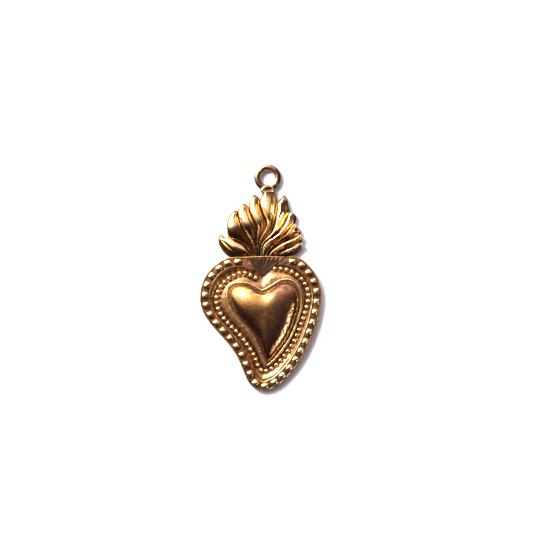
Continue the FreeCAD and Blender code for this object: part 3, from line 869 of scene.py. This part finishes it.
@dataclass
class StuddedBorder(Group):
    """The row of knobs on the ledge and the row of beads in the valley."""

    knob_width: float = 1.0
    knob_height: float = 0.5
    knob_pitch: float = 1.27
    knob_gaps: Pair = (3.28, 2.55)
    knob_squareness: float = 3.2
    knob_fullness: float = 0.62
    foot_shade_reach: Pair = (0.05, 0.5)
    knob_under: Triple = (0.45, 0.0, -0.89)
    knob_under_reach: Pair = (0.05, 0.35)
    lit_side: Triple = (0.75, 0.0, -0.66)
    lit_reach: Pair = (13.4, 15.9)
    lit_shine: float = 0.5
    bright_side: Triple = (-0.75, 0.0, 0.66)
    bright_reach: Pair = (-6.5, -3.5)
    bead_pitch: float = 0.72
    bead_gaps: Pair = (0.62, 2.15)
    knob_growth: Pair = (0.94, 1.04)
    bead_growth: Pair = (0.94, 1.0)
    knob_detail: tuple[int, int] = (28, 16)
    bead_detail: tuple[int, int] = (20, 14)
    smooth_angle: float = math.radians(55)
    seed: int = 11

    def half_ball(self, name: str, cut: float, segments: int, rings: int) -> Object:
        """A unit ball bisected at a height, with the cut filled.

        Args:
            name: The object's name.
            cut: The height of the cut as a share of the radius.
            segments: Divisions round the ball.
            rings: Divisions from pole to pole.
        Returns:
            The cut ball, its pole along +Z.
        """
        clear_selection()
        bpy.ops.mesh.primitive_uv_sphere_add(segments=segments, ring_count=rings, radius=1)
        ball = bpy.context.object
        ball.name = name
        bpy.ops.object.mode_set(mode="EDIT")
        bpy.ops.mesh.select_all(action="SELECT")
        bpy.ops.mesh.bisect(plane_co=(0, 0, cut), plane_no=(0, 0, 1), use_fill=True,
                            clear_inner=True)
        bpy.ops.object.mode_set(mode="OBJECT")
        bpy.ops.object.shade_smooth_by_angle(angle=self.smooth_angle)
        # Painted shade: each ball is darker towards its foot, where it sits among the others.
        heights = np.array([vertex.co.z for vertex in ball.data.vertices])
        set_tarnish_and_painted_light(ball.data, 1 - eased(heights, *self.foot_shade_reach))
        return ball

    def set_copies(self, pattern: Object, name: str, settings: list[Setting]) -> Object:
        """Copies a pattern to each setting and joins the copies.

        Args:
            pattern: The object to copy; it is removed afterwards.
            name: The joined piece's name.
            settings: For each copy its point (x, z), its direction, its height and its sizes
                along, across and up.
        Returns:
            The joined piece.
        """
        copies = []
        for point, along, height, sizes in settings:
            copy = pattern.copy()
            copy.data = pattern.data.copy()
            bpy.context.scene.collection.objects.link(copy)
            forward = Vector((along[0], 0, along[1]))
            up = Vector((0, -1, 0))
            side = up.cross(forward)
            columns = (forward * sizes[0], side * sizes[1], up * sizes[2])
            matrix = copy.matrix_world.to_3x3()
            for number, column in enumerate(columns):
                matrix.col[number] = column * MM
            copy.matrix_world = matrix.to_4x4()
            copy.location = Vector((point[0], BACK_Y - height, point[1])) * MM
            copies.append(copy)
        bpy.data.objects.remove(pattern)
        return join_pieces(name, copies)

    def squared(self, ball: Object) -> None:
        """Squares a half ball's plan so that it reads as a pad with rounded corners.

        Args:
            ball: The half ball.
        """
        power = self.knob_squareness
        for vertex in ball.data.vertices:
            x, y = vertex.co.x, vertex.co.y
            radius = math.hypot(x, y)
            if radius > 0:
                square = (abs(x / radius) ** power + abs(y / radius) ** power) ** (-1 / power)
                vertex.co.x, vertex.co.y = x * square, y * square
            vertex.co.z = max(vertex.co.z, 0.0) ** self.knob_fullness

    def knobs(self) -> None:
        """Sets the knobs across the border."""
        chance = random.Random(self.seed)
        ball = self.half_ball("knob", 0.0, *self.knob_detail)
        self.squared(ball)
        settings = []
        line = EDGE.inset(KNOB_INSET).points
        for point, along in spaced(line, *self.knob_gaps, self.knob_pitch):
            grown = chance.uniform(*self.knob_growth)
            sizes = (self.knob_width / 2 * grown, KNOB_LENGTH / 2, self.knob_height * grown)
            settings.append((point, along, LEDGE, sizes))
        piece = self.set_copies(ball, "knob_row", settings)
        # Painted shade on the knobs' undersides (under), and painted highlights on the knobs at the
        # lower right (lit) and at the upper left (bright).
        normals = np.array([vertex.normal for vertex in piece.data.vertices])
        under = eased(normals @ np.array(self.knob_under), *self.knob_under_reach)
        places = np.array([vertex.co for vertex in piece.data.vertices]) / MM
        lit = eased(places @ np.array(self.lit_side), *self.lit_reach)
        tarnish_and_painted_light_map = np.array([entry.value for entry in piece.data.attributes["tarnish_and_painted_light"].data])
        bright = np.maximum(lit, eased(places @ np.array(self.bright_side), *self.bright_reach))
        tarnish_and_painted_light_map = np.maximum(tarnish_and_painted_light_map, under * (1 - lit))
        tarnish_and_painted_light_map -= self.lit_shine * bright * (1 - tarnish_and_painted_light_map)
        set_tarnish_and_painted_light(piece.data, tarnish_and_painted_light_map)
        self.shop.dress(piece, Slot.BEAD, "border_knobs")

    def beads(self) -> None:
        """Sets the fine beads in the valley."""
        chance = random.Random(self.seed + 1)
        sunk = -(BEAD_RADIUS - BEAD_SINK) / BEAD_RADIUS
        ball = self.half_ball("bead", sunk, *self.bead_detail)
        settings = []
        for half, gap in zip(BEADS.halves(), self.bead_gaps):
            for point, along in spaced(half, gap, self.bead_pitch / 2, self.bead_pitch):
                size = BEAD_RADIUS * chance.uniform(*self.bead_growth)
                settings.append((point, along, VALLEY + BEAD_RADIUS - BEAD_SINK, (size,) * 3))
        piece = self.set_copies(ball, "bead_chain", settings)
        self.shop.dress(piece, Slot.BEAD, "bead_row")

    def build(self) -> None:
        """Sets both rows."""
        self.knobs()
        self.beads()


@dataclass
class PuffedHeart(Group):
    """The domed heart, with lobes that run together towards its top."""

    rise: float = 1.56
    roundness: float = 2.3
    levels: int = 30
    crowding: float = 1.6
    ease: float = 15.0
    ease_growth: float = 0.8
    seat: float = 0.02
    unevenness: float = 0.012
    uneven_scale: float = 0.55
    lower_shade: float = 0.6
    lower_slant: float = 0.55
    lower_reach: Pair = (-0.12, 0.5)
    right_shade: float = 0.85
    right_reach: Pair = (0.05, 0.18)
    flank_span: Span = (0.2, 0.25, 0.5, 0.485)
    flank_reach: Pair = (0.58, 0.5)
    streak_rate: float = 34.0
    streak_swing: float = 9.0
    streak_turn: float = 14.0
    streak_breaks: float = 150.0
    streak_reach: Pair = (0.6, 0.5)
    streak_span: Span = (0.53, 0.58, 0.84, 0.78)
    streak_ages: Pair = (-0.4, 1.0)
    top_right: Pair = (0.84, 0.92)
    top_left: Pair = (0.12, 0.05)
    top_span: Span = (0.1, 0.2, 0.62, 0.4)
    top_shine: float = 0.6

    def shape(self) -> Array:
        """Raises the dome over its foot, with lobes that soften on their way up.

        Returns:
            Rows of points, from the foot up to the crown.
        """
        foot = DOME.fine()
        centre = heart_points((DOME_TOP,))[0]
        frequency = np.fft.rfftfreq(len(foot))
        rows = [raised(foot, MARGIN - self.seat)]
        for level in range(self.levels + 1):
            share = (level / self.levels) ** self.crowding
            spread = self.ease * share ** self.ease_growth
            kept = np.exp(-0.5 * (2 * math.pi * frequency * spread) ** 2)[:, None]
            softened = np.fft.irfft(np.fft.rfft(foot, axis=0) * kept, n=len(foot), axis=0)
            line = softened + (centre - softened) * share
            lift = (1 - (1 - share) ** self.roundness) ** (1 / self.roundness)
            rows.append(raised(line, MARGIN + self.rise * lift))
        grid = np.array(rows)
        for row in grid[2:]:
            for point in row:
                point[1] += noise.noise(Vector(point) * self.uneven_scale) * self.unevenness
        grid[-1] = grid[-1].mean(axis=0)
        return grid

    def tarnish_and_painted_light_map(self, grid: Array) -> Array:
        """Paints the dome's shade and highlights with its patina: dark below and at its sides, with
        pale streaks of painted highlight.

        Args:
            grid: The dome's rows of points.
        Returns:
            How dark it has turned at each point.
        """
        centre = heart_points((DOME_TOP,))[0]
        down = (centre[1] - grid[..., 2]) / DOME_SPAN
        left = (centre[0] - grid[..., 0]) / DOME_SPAN
        # Painted shade with patina: darker towards the lower left and at the right side, and
        # darkest on the lower-left flank.
        tarnish_and_painted_light_map = self.lower_shade * eased(self.lower_slant * left + down, *self.lower_reach)
        tarnish_and_painted_light_map = np.maximum(tarnish_and_painted_light_map, self.right_shade * eased(-left, *self.right_reach))
        station = np.arange(grid.shape[1]) / grid.shape[1]
        up = np.linspace(0, 1, len(grid))[:, None]
        side = between(station, self.flank_span)
        tarnish_and_painted_light_map = np.maximum(tarnish_and_painted_light_map, side * eased(up, *self.flank_reach))
        # Painted light: pale and dark streaks near the top, and broken pale and dark streaks down
        # the right flank, the pale ones as highlights.
        swing = self.streak_swing * np.cos(station * self.streak_turn)
        ripple = np.sin(up * self.streak_rate + swing)
        top = eased(station, *self.top_right) + eased(station, *self.top_left)
        tarnish_and_painted_light_map = tarnish_and_painted_light_map + self.top_shine * between(up, self.top_span) * top * ripple
        pale = ripple * np.sin(station * self.streak_breaks) > 0
        flank = between(station, self.streak_span)
        flank = flank * eased(up, *self.streak_reach)
        tarnish_and_painted_light_map = tarnish_and_painted_light_map * (1 - flank) + flank * np.where(pale, *self.streak_ages)
        # The two foot rows are painted dark as shade.
        tarnish_and_painted_light_map[:2] = 1.0
        return tarnish_and_painted_light_map

    def build(self) -> None:
        """Lays the dome and dresses it."""
        grid = self.shape()
        piece = lay_grid("puffed_heart", grid, False, True, self.tarnish_and_painted_light_map(grid))
        self.shop.dress(piece, Slot.POLISHED, "heart_dome")


@dataclass
class CleftFan(Group):
    """The fluted fan in the cleft under the flames."""

    gaps: Pair = (2.1, 2.15)
    rise: float = 0.34
    apex_rise: float = 0.12
    flute_depth: float = 0.052
    flutes: int = 8
    apex_width: float = 0.3
    rays_per_flute: int = 8
    levels: int = 9
    arc_density: int = 4000
    tarnish_and_painted_light: float = 0.9

    def build(self) -> None:
        """Lays the fan and dresses it."""
        left, right = EDGE.inset(LIP + TRIM_GAP).halves()
        arc = smooth_line(np.concatenate([left[::-1], right[1:]]), self.arc_density)
        top = lengths(arc)[int(np.argmin(np.linalg.norm(arc - left[0], axis=1)))]
        rays = self.flutes * self.rays_per_flute
        outer = points_at(arc, np.linspace(top - self.gaps[0], top + self.gaps[1], rays + 1))
        apex = BEADS.points[0]
        spread = np.linspace(-0.5, 0.5, rays + 1) * self.apex_width
        inner = np.stack([apex[0] + spread, np.full(rays + 1, apex[1] + self.apex_width)], axis=1)
        wave = 0.5 - 0.5 * np.cos(np.arange(rays + 1) / self.rays_per_flute * 2 * math.pi)
        rows = [raised(inner, LEDGE)]
        for share in np.linspace(0, 1, self.levels):
            fall = self.apex_rise + (self.rise - self.apex_rise) * share
            height = LEDGE + fall - self.flute_depth * share * wave
            rows.append(raised(inner + (outer - inner) * share, height))
        rows.append(raised(outer, LEDGE))
        section = np.array(rows)
        # The fan is painted dark all over, partly as shade in the cleft. Its outermost raised row
        # is left undarkened.
        tarnish_and_painted_light_map = np.full(section.shape[:2], self.tarnish_and_painted_light)
        tarnish_and_painted_light_map[-2] = 0.0
        piece = lay_grid("cleft_flutes", section, True, False, tarnish_and_painted_light_map)
        self.shop.dress(piece, Slot.RELIEF, "cleft_fan", dimmed=True)


@dataclass(frozen=True)
class FlameStation:
    """A row of places across a flame and what holds there.

    The share runs from 0 at the left edge to 1 at the right, and the way up from 0 at the root
    to 1 at the tip. The vein is how much of the vein along the left edge stands there.
    """

    share: Array
    up: float
    width: float
    vein: float
    looks: FlameLooks


@dataclass
class FlameCrown(Group):
    """The ten flames, each a domed tongue with a fine crease along it."""

    side: float = 0.35
    middle_rise: float = 0.5
    crown_rise: float = 0.44
    crown_reach: Pair = (0.15, 0.65)
    hollowness: Pair = (1.7, 0.85)
    hollow_rate: float = 1.6
    seam: float = 0.02
    crease_width: float = 0.07
    crease_start: float = 0.3
    crease_length: float = 0.65
    vein_rise: float = 0.3
    vein_strip: float = 0.7
    vein_most: float = 0.6
    vein_fade: float = 0.12
    vein_columns: int = 16
    vein_full: Pair = (0.99, 0.9)
    peak_softness: float = 0.08
    band_full: float = 1.0
    band_least: float = 0.4
    slant: float = 0.18
    belly_reach: Pair = (0.1, 0.02)
    slope_reach: float = 0.15
    edge_reach: Pair = (0.24, 0.06)
    right_edge_reach: Pair = (0.6, 0.8)
    crease_dark_width: float = 0.08
    crease_dark_rate: float = 8.0
    crease_dark_reach: Pair = (0.3, 0.5)
    tip_dark: Pair = (0.88, 0.97)
    patch_shine: float = 1.0
    patch_width: float = 0.16
    patch_reach: Pair = (0.08, 0.14)
    flank_shade: float = 0.45
    flank_reach: Pair = (0.17, 0.36)
    flank_end: Pair = (0.8, 0.55)
    band_shine: float = 1.0
    left_dark: float = 0.86
    stations: int = 72
    columns: int = 40
    tip_share: float = 0.92
    tip_least: float = 0.35
    tip_width: float = 0.2
    least_width: float = 1e-3

    def strip(self, row: FlameStation) -> Array:
        """How near each place is to the crest of the vein, from 0 up to 1 on it."""
        taper = min(1.0, max(row.width / self.band_full, self.band_least))
        return hump(row.share * row.width / taper, *row.looks.band)

    def relief(self, row: FlameStation) -> Array:
        """Domes and creases a flame across one station.

        Args:
            row: The station.
        Returns:
            The height of each place above the flame's sides, in millimetres.
        """
        looks = row.looks
        warped = row.share ** (math.log(0.5) / math.log(looks.lean))
        low, high = self.hollowness
        power = low + (high - low) * min(1, row.up * self.hollow_rate)
        crown = min(self.crown_rise, row.width / 2) * np.sin(math.pi * warped) ** power
        crown *= looks.root_crown + (1 - looks.root_crown) * eased(row.up, *self.crown_reach)
        crease = hump(row.share, looks.crease_place, self.crease_width) * looks.crease
        along = (row.up - self.crease_start) / self.crease_length
        crease *= math.sin(math.pi * min(max(along, 0), 1))
        return crown - crease + self.strip(row) * self.vein_rise * row.vein

    def tarnish_and_painted_light_map(self, row: FlameStation) -> Array:
        """Paints a flame's shade, highlights and patina across one station.

        Args:
            row: The station.
        Returns:
            How dark each place has turned; below 0 it is rubbed pale.
        """
        share, looks = row.share, row.looks
        # Painted shade, with patina at the roots. The lower belly, the right slope, the edges, the
        # crease, the tip and the flanks away from the crest all darken.
        rise = row.up + self.slant * share - looks.belly
        belly = eased(rise, *self.belly_reach)
        slope = eased(share, looks.dark_from, looks.dark_from + self.slope_reach)
        left_edge = eased(share * row.width, *self.edge_reach) * (1 - row.vein)
        right_edge = eased((1 - share) * row.width, *self.edge_reach)
        right_edge = right_edge * eased(row.up, *self.right_edge_reach)
        crease = hump(share, looks.crease_place, self.crease_dark_width)
        crease = crease * min(1, looks.crease * self.crease_dark_rate)
        crease *= eased(row.up, *self.crease_dark_reach)
        dark = np.maximum.reduce([belly, slope, left_edge, right_edge, crease])
        dark = np.maximum(dark, eased(row.up, *self.tip_dark))
        away = np.abs(share - looks.lean)
        if not looks.broad():
            flank = eased(away, *self.flank_reach)
            flank = flank * self.flank_shade * eased(row.up, *self.flank_end)
            dark = np.maximum(dark, flank) * self.left_dark
        # A painted highlight along the crest's upper part.
        patch = hump(away, 0.0, self.patch_width * (1 + row.up))
        patch = patch * eased(row.up, *self.tip_dark[::-1]) * eased(rise, *self.patch_reach)
        dark = dark - self.patch_shine * patch * (1 - slope)
        # The vein's crest is painted pale as a highlight.
        strip = self.strip(row) * row.vein
        return np.clip(dark * (1 - strip) - self.band_shine * strip, -1, 1)

    def build_flame(self, name: str, left: Array, right: Array, vein_end: float,
                    looks: FlameLooks) -> Object:
        """Lays one flame between its two edges.

        Args:
            name: The piece's name.
            left: Points of the left edge from root to tip.
            right: Points of the right edge from root to tip.
            vein_end: How far up the vein along the left edge runs; 0 for none.
            looks: The flame's own crest, crease and dark parts.
        Returns:
            The flame.
        """
        edges = [smooth_line(points, self.stations) for points in (left, right)]
        across = edges[1] - edges[0]
        width = np.linalg.norm(across, axis=1)
        unit = across / np.maximum(width, TINY)[:, None]
        drawn = np.minimum(self.seam / 2, width / 2)[:, None]
        start, end = edges[0] + unit * drawn, edges[1] - unit * drawn
        at = np.linspace(0, 1, self.stations)
        climb, descent = at / looks.peak, (1 - at) / (1 - looks.peak)
        rise = (climb + descent - np.sqrt((climb - descent) ** 2 + self.peak_softness)) / 2
        base = PLATE + self.side + self.middle_rise * np.maximum(rise, 0)
        fall = np.clip((at - self.tip_share) / (1 - self.tip_share), 0, 1)
        if width[-1] < self.tip_width:
            kept = self.tip_least + (1 - self.tip_least) * np.sqrt(1 - fall ** 2)
            base = PLATE + (base - PLATE) * kept
        stations = []
        tarnish_and_painted_light_map = []
        for number, along in enumerate(at):
            broad = max(width[number], self.least_width)
            strip = min(self.vein_strip / broad, self.vein_most)
            share = np.concatenate([np.linspace(0, strip, self.vein_columns, endpoint=False),
                                    np.linspace(strip, 1, self.columns - self.vein_columns)])
            reach = self.vein_full if looks.broad() else (vein_end, vein_end - self.vein_fade)
            vein = eased(along, *reach) if vein_end else 0.0
            row = FlameStation(share, along, broad, vein, looks)
            line = start[number] + (end[number] - start[number]) * share[:, None]
            stations.append(np.concatenate([raised(line[:1], PLATE),
                                            raised(line, base[number] + self.relief(row)),
                                            raised(line[-1:], PLATE)]))
            # The flame's side walls, down in the grooves, are painted dark as shade.
            tarnish_and_painted_light_map.append(np.concatenate([[1.0], self.tarnish_and_painted_light_map(row), [1.0]]))
        return lay_grid(name, np.array(stations), False, True, np.array(tarnish_and_painted_light_map))

    def build(self) -> None:
        """Lays and dresses every flame."""
        lefts = (CROWN_LEFT,) + GROOVES
        rights = GROOVES + (CROWN_RIGHT,)
        rows = zip(FREE_EDGES.items(), lefts, rights)
        for (name, (left, tip, right)), left_groove, right_groove in rows:
            tips = FLAME_NECK if name == "flame_centre" else (tip, tip)
            edge = flame_points(left_groove + left + tips[:1])
            run = lengths(edge)
            vein_end = 0.0 if left_groove is CROWN_LEFT else run[len(left_groove) - 1] / run[-1]
            piece = self.build_flame("dressed_" + name, edge,
                                     flame_points(right_groove + right + tips[1:]), vein_end,
                                     FLAME_LOOKS[name])
            self.shop.dress(piece, Slot.FLAME, name)


@dataclass
class HangingRing(Group):
    """The soldered ring and the collar of solder under it."""

    segments: int = 96
    section: int = 28
    inner_flatness: float = 0.45
    lit_turn: float = 2.3
    ring_darkness: float = 0.95
    ring_turn_shine: float = 1.9
    collar_width: float = 1.7
    collar_cover: float = 0.08
    collar_shoulder: float = 0.3
    collar_top: float = 0.84
    collar_shine: float = 0.9
    shine_reach: Pair = (0.1, 0.6)
    collar_tuck: float = 0.02
    collar_lift: float = 0.01
    collar_middle: Pair = (0.08, 0.3)
    arch_points: int = 33
    foot_points: int = 12
    # Each row: its share of the outline, its share of the depth, and its patina and painted light.
    # The last is low on the front rows and high on the rim, which is painted dark as shade.
    collar_profile: tuple[Triple, ...] = (
        (0.9, -0.6, 1.0), (1.0, -0.45, 0.8), (1.0, 0.7, 0.5), (0.97, 0.86, 0.1), (0.9, 0.95, 0.0),
        (0.8, 0.99, 0.0), (0.7, 0.98, 0.0), (0.6, 0.92, 0.5), (0.5, 0.82, 1.0), (0.3, 0.76, 1.0),
    )

    def ring(self) -> None:
        """Shapes the ring from a torus."""
        clear_selection()
        middle = RING_BORE + RING_BAND / 2
        half = RING_BAND / 2
        bpy.ops.mesh.primitive_torus_add(
            major_radius=middle * MM, minor_radius=half * MM, major_segments=self.segments,
            minor_segments=self.section, rotation=(math.pi / 2, 0, 0))
        bpy.ops.object.transform_apply(location=True, rotation=True, scale=True)
        piece = bpy.context.object
        piece.name = "hanging_ring"
        for vertex in piece.data.vertices:
            place = vertex.co / MM
            out = math.hypot(place.x, place.z)
            offset = (out - middle) / half
            depth = place.y / half
            if offset < 0:
                offset = -abs(offset) ** self.inner_flatness
            new = middle + offset * half
            vertex.co = Vector((place.x / out * new, depth * RING_DEPTH / 2,
                                place.z / out * new)) * MM
        bpy.ops.object.shade_smooth()
        # The ring is painted dark all over (ring_darkness). It has a painted highlight on its outer
        # side towards the upper left, and painted shade on its inner side there.
        places = np.array([vertex.co for vertex in piece.data.vertices]) / MM
        turn = np.arctan2(places[:, 2], places[:, 0])
        lit = np.cos(turn - self.lit_turn)
        outward = (np.hypot(places[:, 0], places[:, 2]) - middle) / half
        tarnish_and_painted_light_map = self.ring_darkness - self.ring_turn_shine * lit * outward
        set_tarnish_and_painted_light(piece.data, np.clip(tarnish_and_painted_light_map, -1, 1))
        self.shop.dress(piece, Slot.RING, "suspension_ring")

    def collar(self) -> None:
        """Shapes the solder: an arch over the ring's foot with a hollow in its face."""
        half = self.collar_width / 2 - self.collar_tuck
        foot_z = NECK_Z + self.collar_lift
        turns = np.linspace(0, math.pi, self.arch_points)
        arch_rise = self.collar_top - self.collar_shoulder
        arch = np.stack([half * np.cos(turns),
                         foot_z + self.collar_shoulder + arch_rise * np.sin(turns)], axis=1)
        across = np.linspace(-half, half, self.foot_points)
        foot = np.stack([across, np.full(len(across), foot_z)], axis=1)
        line = np.concatenate([[(half, foot_z)], arch, foot[:-1]])
        middle = np.array([self.collar_middle[0], foot_z + self.collar_middle[1]])
        face = RING_DEPTH / 2 + self.collar_cover
        # A painted highlight on the left of the collar.
        shine = eased(-line[:, 0] / half, *self.shine_reach)
        rows = []
        tarnish_and_painted_light_map = []
        for share, depth, tarnish_and_painted_light in self.collar_profile:
            rows.append(raised(middle + (line - middle) * share, BACK_Y + face * depth))
            tarnish_and_painted_light_map.append(tarnish_and_painted_light - self.collar_shine * shine * (1 - tarnish_and_painted_light))
        piece = lay_grid("solder_collar", np.array(rows), False, True, np.array(tarnish_and_painted_light_map))
        self.shop.dress(piece, Slot.RING, "ring_collar")

    def build(self) -> None:
        """Shapes the ring and its collar."""
        self.ring()
        self.collar()


@dataclass
class Studio:
    """The pale board behind the charm, the floor, the lamps, the room and the camera."""

    board_gap: float = 0.06
    board_size: float = 400.0
    floor_z: float = -46.0
    target: Triple = (-0.136, 0.0, -10.94)
    distance: float = 155.0
    lens: float = 85.0
    clip_start: float = 1.0
    card_colour: Triple = (0.9, 0.87, 0.97)
    lift_colour: Triple = (0.86, 0.84, 1.0)
    lift: float = 0.03
    room_up: Triple = (-0.36, 0.0, 0.93)
    room_reach: Pair = (-0.8, 0.8)
    room_low: Triple = (0.03, 0.022, 0.03)
    room_high: Triple = (1.5, 1.47, 1.4)
    room_stops: tuple[tuple[float, Triple], ...] = (
        (0.3, (0.075, 0.052, 0.06)), (0.5, (0.15, 0.105, 0.115)), (0.6, (0.5, 0.43, 0.38)),
        (0.7, (1.0, 0.95, 0.88)),
    )
    dim_side: Triple = (-0.56, 0.0, -0.83)
    dim_reach: Pair = (0.48, 0.6)
    dim_colour: Triple = (0.03, 0.02, 0.027)
    wall_side: Triple = (-0.58, -0.4, 0.71)
    wall_reach: Pair = (0.62, 0.86)
    wall_colour: Triple = (3.2, 3.072, 2.816)
    behind_side: Triple = (0.0, 1.0, 0.0)
    behind_reach: Pair = (0.1, 0.6)
    behind_colour: Triple = (0.8, 0.8, 0.82)

    def pale(self, name: str, see_through: bool) -> bpy.types.Material:
        """A matt white that shows as white to the camera and keeps shadows.

        Args:
            name: The material's name.
            see_through: Whether its back lets the eye through.
        Returns:
            The material.
        """
        made = bpy.data.materials.new(name)
        made.use_nodes = True
        made.node_tree.nodes.clear()
        wires = Wiring(made.node_tree)
        matt = wires.add("BsdfDiffuse", {"Color": self.card_colour})
        seen = wires.add("LightPath").outputs["Is Camera Ray"]
        lift = wires.joined("MULTIPLY", seen, self.lift)
        glow = wires.add("Emission", {"Color": self.lift_colour, "Strength": lift})
        both = wires.add("AddShader", {0: matt.outputs["BSDF"], 1: glow.outputs["Emission"]})
        surface = both.outputs["Shader"]
        if see_through:
            clear = wires.add("BsdfTransparent").outputs["BSDF"]
            facing = wires.add("NewGeometry").outputs["Backfacing"]
            surface = wires.add("MixShader", {0: facing, 1: surface, 2: clear}).outputs["Shader"]
        wires.add("OutputMaterial", {"Surface": surface})
        return made

    def board(self) -> None:
        """Sets the board behind the charm and the floor below it."""
        clear_selection()
        place = (0, (BACK_Y + self.board_gap) * MM, self.target[2] * MM)
        bpy.ops.mesh.primitive_plane_add(size=self.board_size * MM, location=place,
                                         rotation=(math.pi / 2, 0, 0))
        board = bpy.context.object
        board.name = "pale_board"
        board.data.materials.append(self.pale("pale_card", True))
        bpy.ops.mesh.primitive_plane_add(size=self.board_size * 2 * MM,
                                         location=(0, 0, self.floor_z * MM))
        floor = bpy.context.object
        floor.name = "pale_floor"
        floor.data.materials.append(self.pale("pale_table", False))
        for stage in (board, floor):
            stage.visible_glossy = False
            stage.visible_diffuse = False

    def room(self) -> None:
        """Lights the charm from a plain room that is pale behind it and dim in front."""
        world = bpy.data.worlds.new("room")
        bpy.context.scene.world = world
        world.use_nodes = True
        world.node_tree.nodes.clear()
        wires = Wiring(world.node_tree)
        place = wires.add("TexCoord").outputs["Generated"]

        def towards(side: Triple, reach: Pair) -> Socket:
            """A smooth step over how far a direction of view turns to a side."""
            dot = wires.add("VectorMath", {0: place, 1: side}, operation="DOT_PRODUCT")
            return wires.ranged(dot.outputs["Value"], reach, steps="SMOOTHSTEP")

        ramp = wires.add("ValToRGB", {"Fac": towards(self.room_up, self.room_reach)})
        ends = ramp.color_ramp.elements
        ends[0].color, ends[1].color = (*self.room_low, 1), (*self.room_high, 1)
        for stop, colour in self.room_stops:
            ends.new(stop).color = (*colour, 1)
        light = ramp.outputs["Color"]
        for side, reach, colour in ((self.dim_side, self.dim_reach, self.dim_colour),
                                    (self.wall_side, self.wall_reach, self.wall_colour),
                                    (self.behind_side, self.behind_reach, self.behind_colour)):
            light = wires.mixed(towards(side, reach), light, colour)
        seen = wires.add("LightPath").outputs["Is Camera Ray"]
        sky = wires.add("Background", {"Color": wires.mixed(seen, light, (1.0, 1.0, 1.0))})
        wires.add("OutputWorld", {"Surface": sky.outputs["Background"]})

    def lamp(self, name: str, place: Triple, size: Pair, watts: float, colour: Triple) -> None:
        """Hangs a soft lamp that looks at the charm.

        Args:
            name: The lamp's name.
            place: Where it hangs, in millimetres.
            size: Its width and height in millimetres.
            watts: Its power.
            colour: Its colour.
        """
        light = bpy.data.lights.new(name, "AREA")
        light.shape = "RECTANGLE"
        light.size, light.size_y = size[0] * MM, size[1] * MM
        light.energy = watts
        light.color = colour
        holder = bpy.data.objects.new(name, light)
        bpy.context.scene.collection.objects.link(holder)
        holder.location = Vector(place) * MM
        aim = Vector(self.target) - Vector(place)
        holder.rotation_euler = aim.to_track_quat("-Z", "Y").to_euler()

    def camera(self) -> None:
        """Sets the camera square to the charm's face."""
        data = bpy.data.cameras.new("photo_camera")
        data.lens = self.lens
        data.clip_start = self.clip_start * MM
        holder = bpy.data.objects.new("photo_camera", data)
        bpy.context.scene.collection.objects.link(holder)
        holder.location = (Vector(self.target) - Vector((0, self.distance, 0))) * MM
        holder.rotation_euler = (math.pi / 2, 0, 0)
        bpy.context.scene.camera = holder

    def build(self) -> None:
        """Sets up the whole studio."""
        self.board()
        self.room()
        self.lamp("window", (-113, -205, 102), (70, 70), 0.8, (1.0, 0.97, 0.92))
        self.lamp("side_strip", (150, -105, -95), (40, 120), 0.08, (1.0, 0.95, 0.85))
        self.camera()
        bpy.context.scene.view_settings.view_transform = "Standard"


def main() -> None:
    """Builds every piece in order."""
    logging.basicConfig(level=logging.INFO)
    materials = {slot: finish.material() for slot, finish in FINISHES.items()}
    shop = Workshop(materials, DIM_FAN_BRASS.material())
    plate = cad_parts["back_plate"]
    plate.data.materials.clear()
    plate.data.materials.append(shop.materials[Slot.BACK])
    for group in (HeartPan, BorderWires, StuddedBorder, PuffedHeart, CleftFan, FlameCrown,
                  HangingRing):
        group(shop).build()
        log.info("%s done", group.__name__)
    Studio().build()


if __name__ == "__main__":
    main()
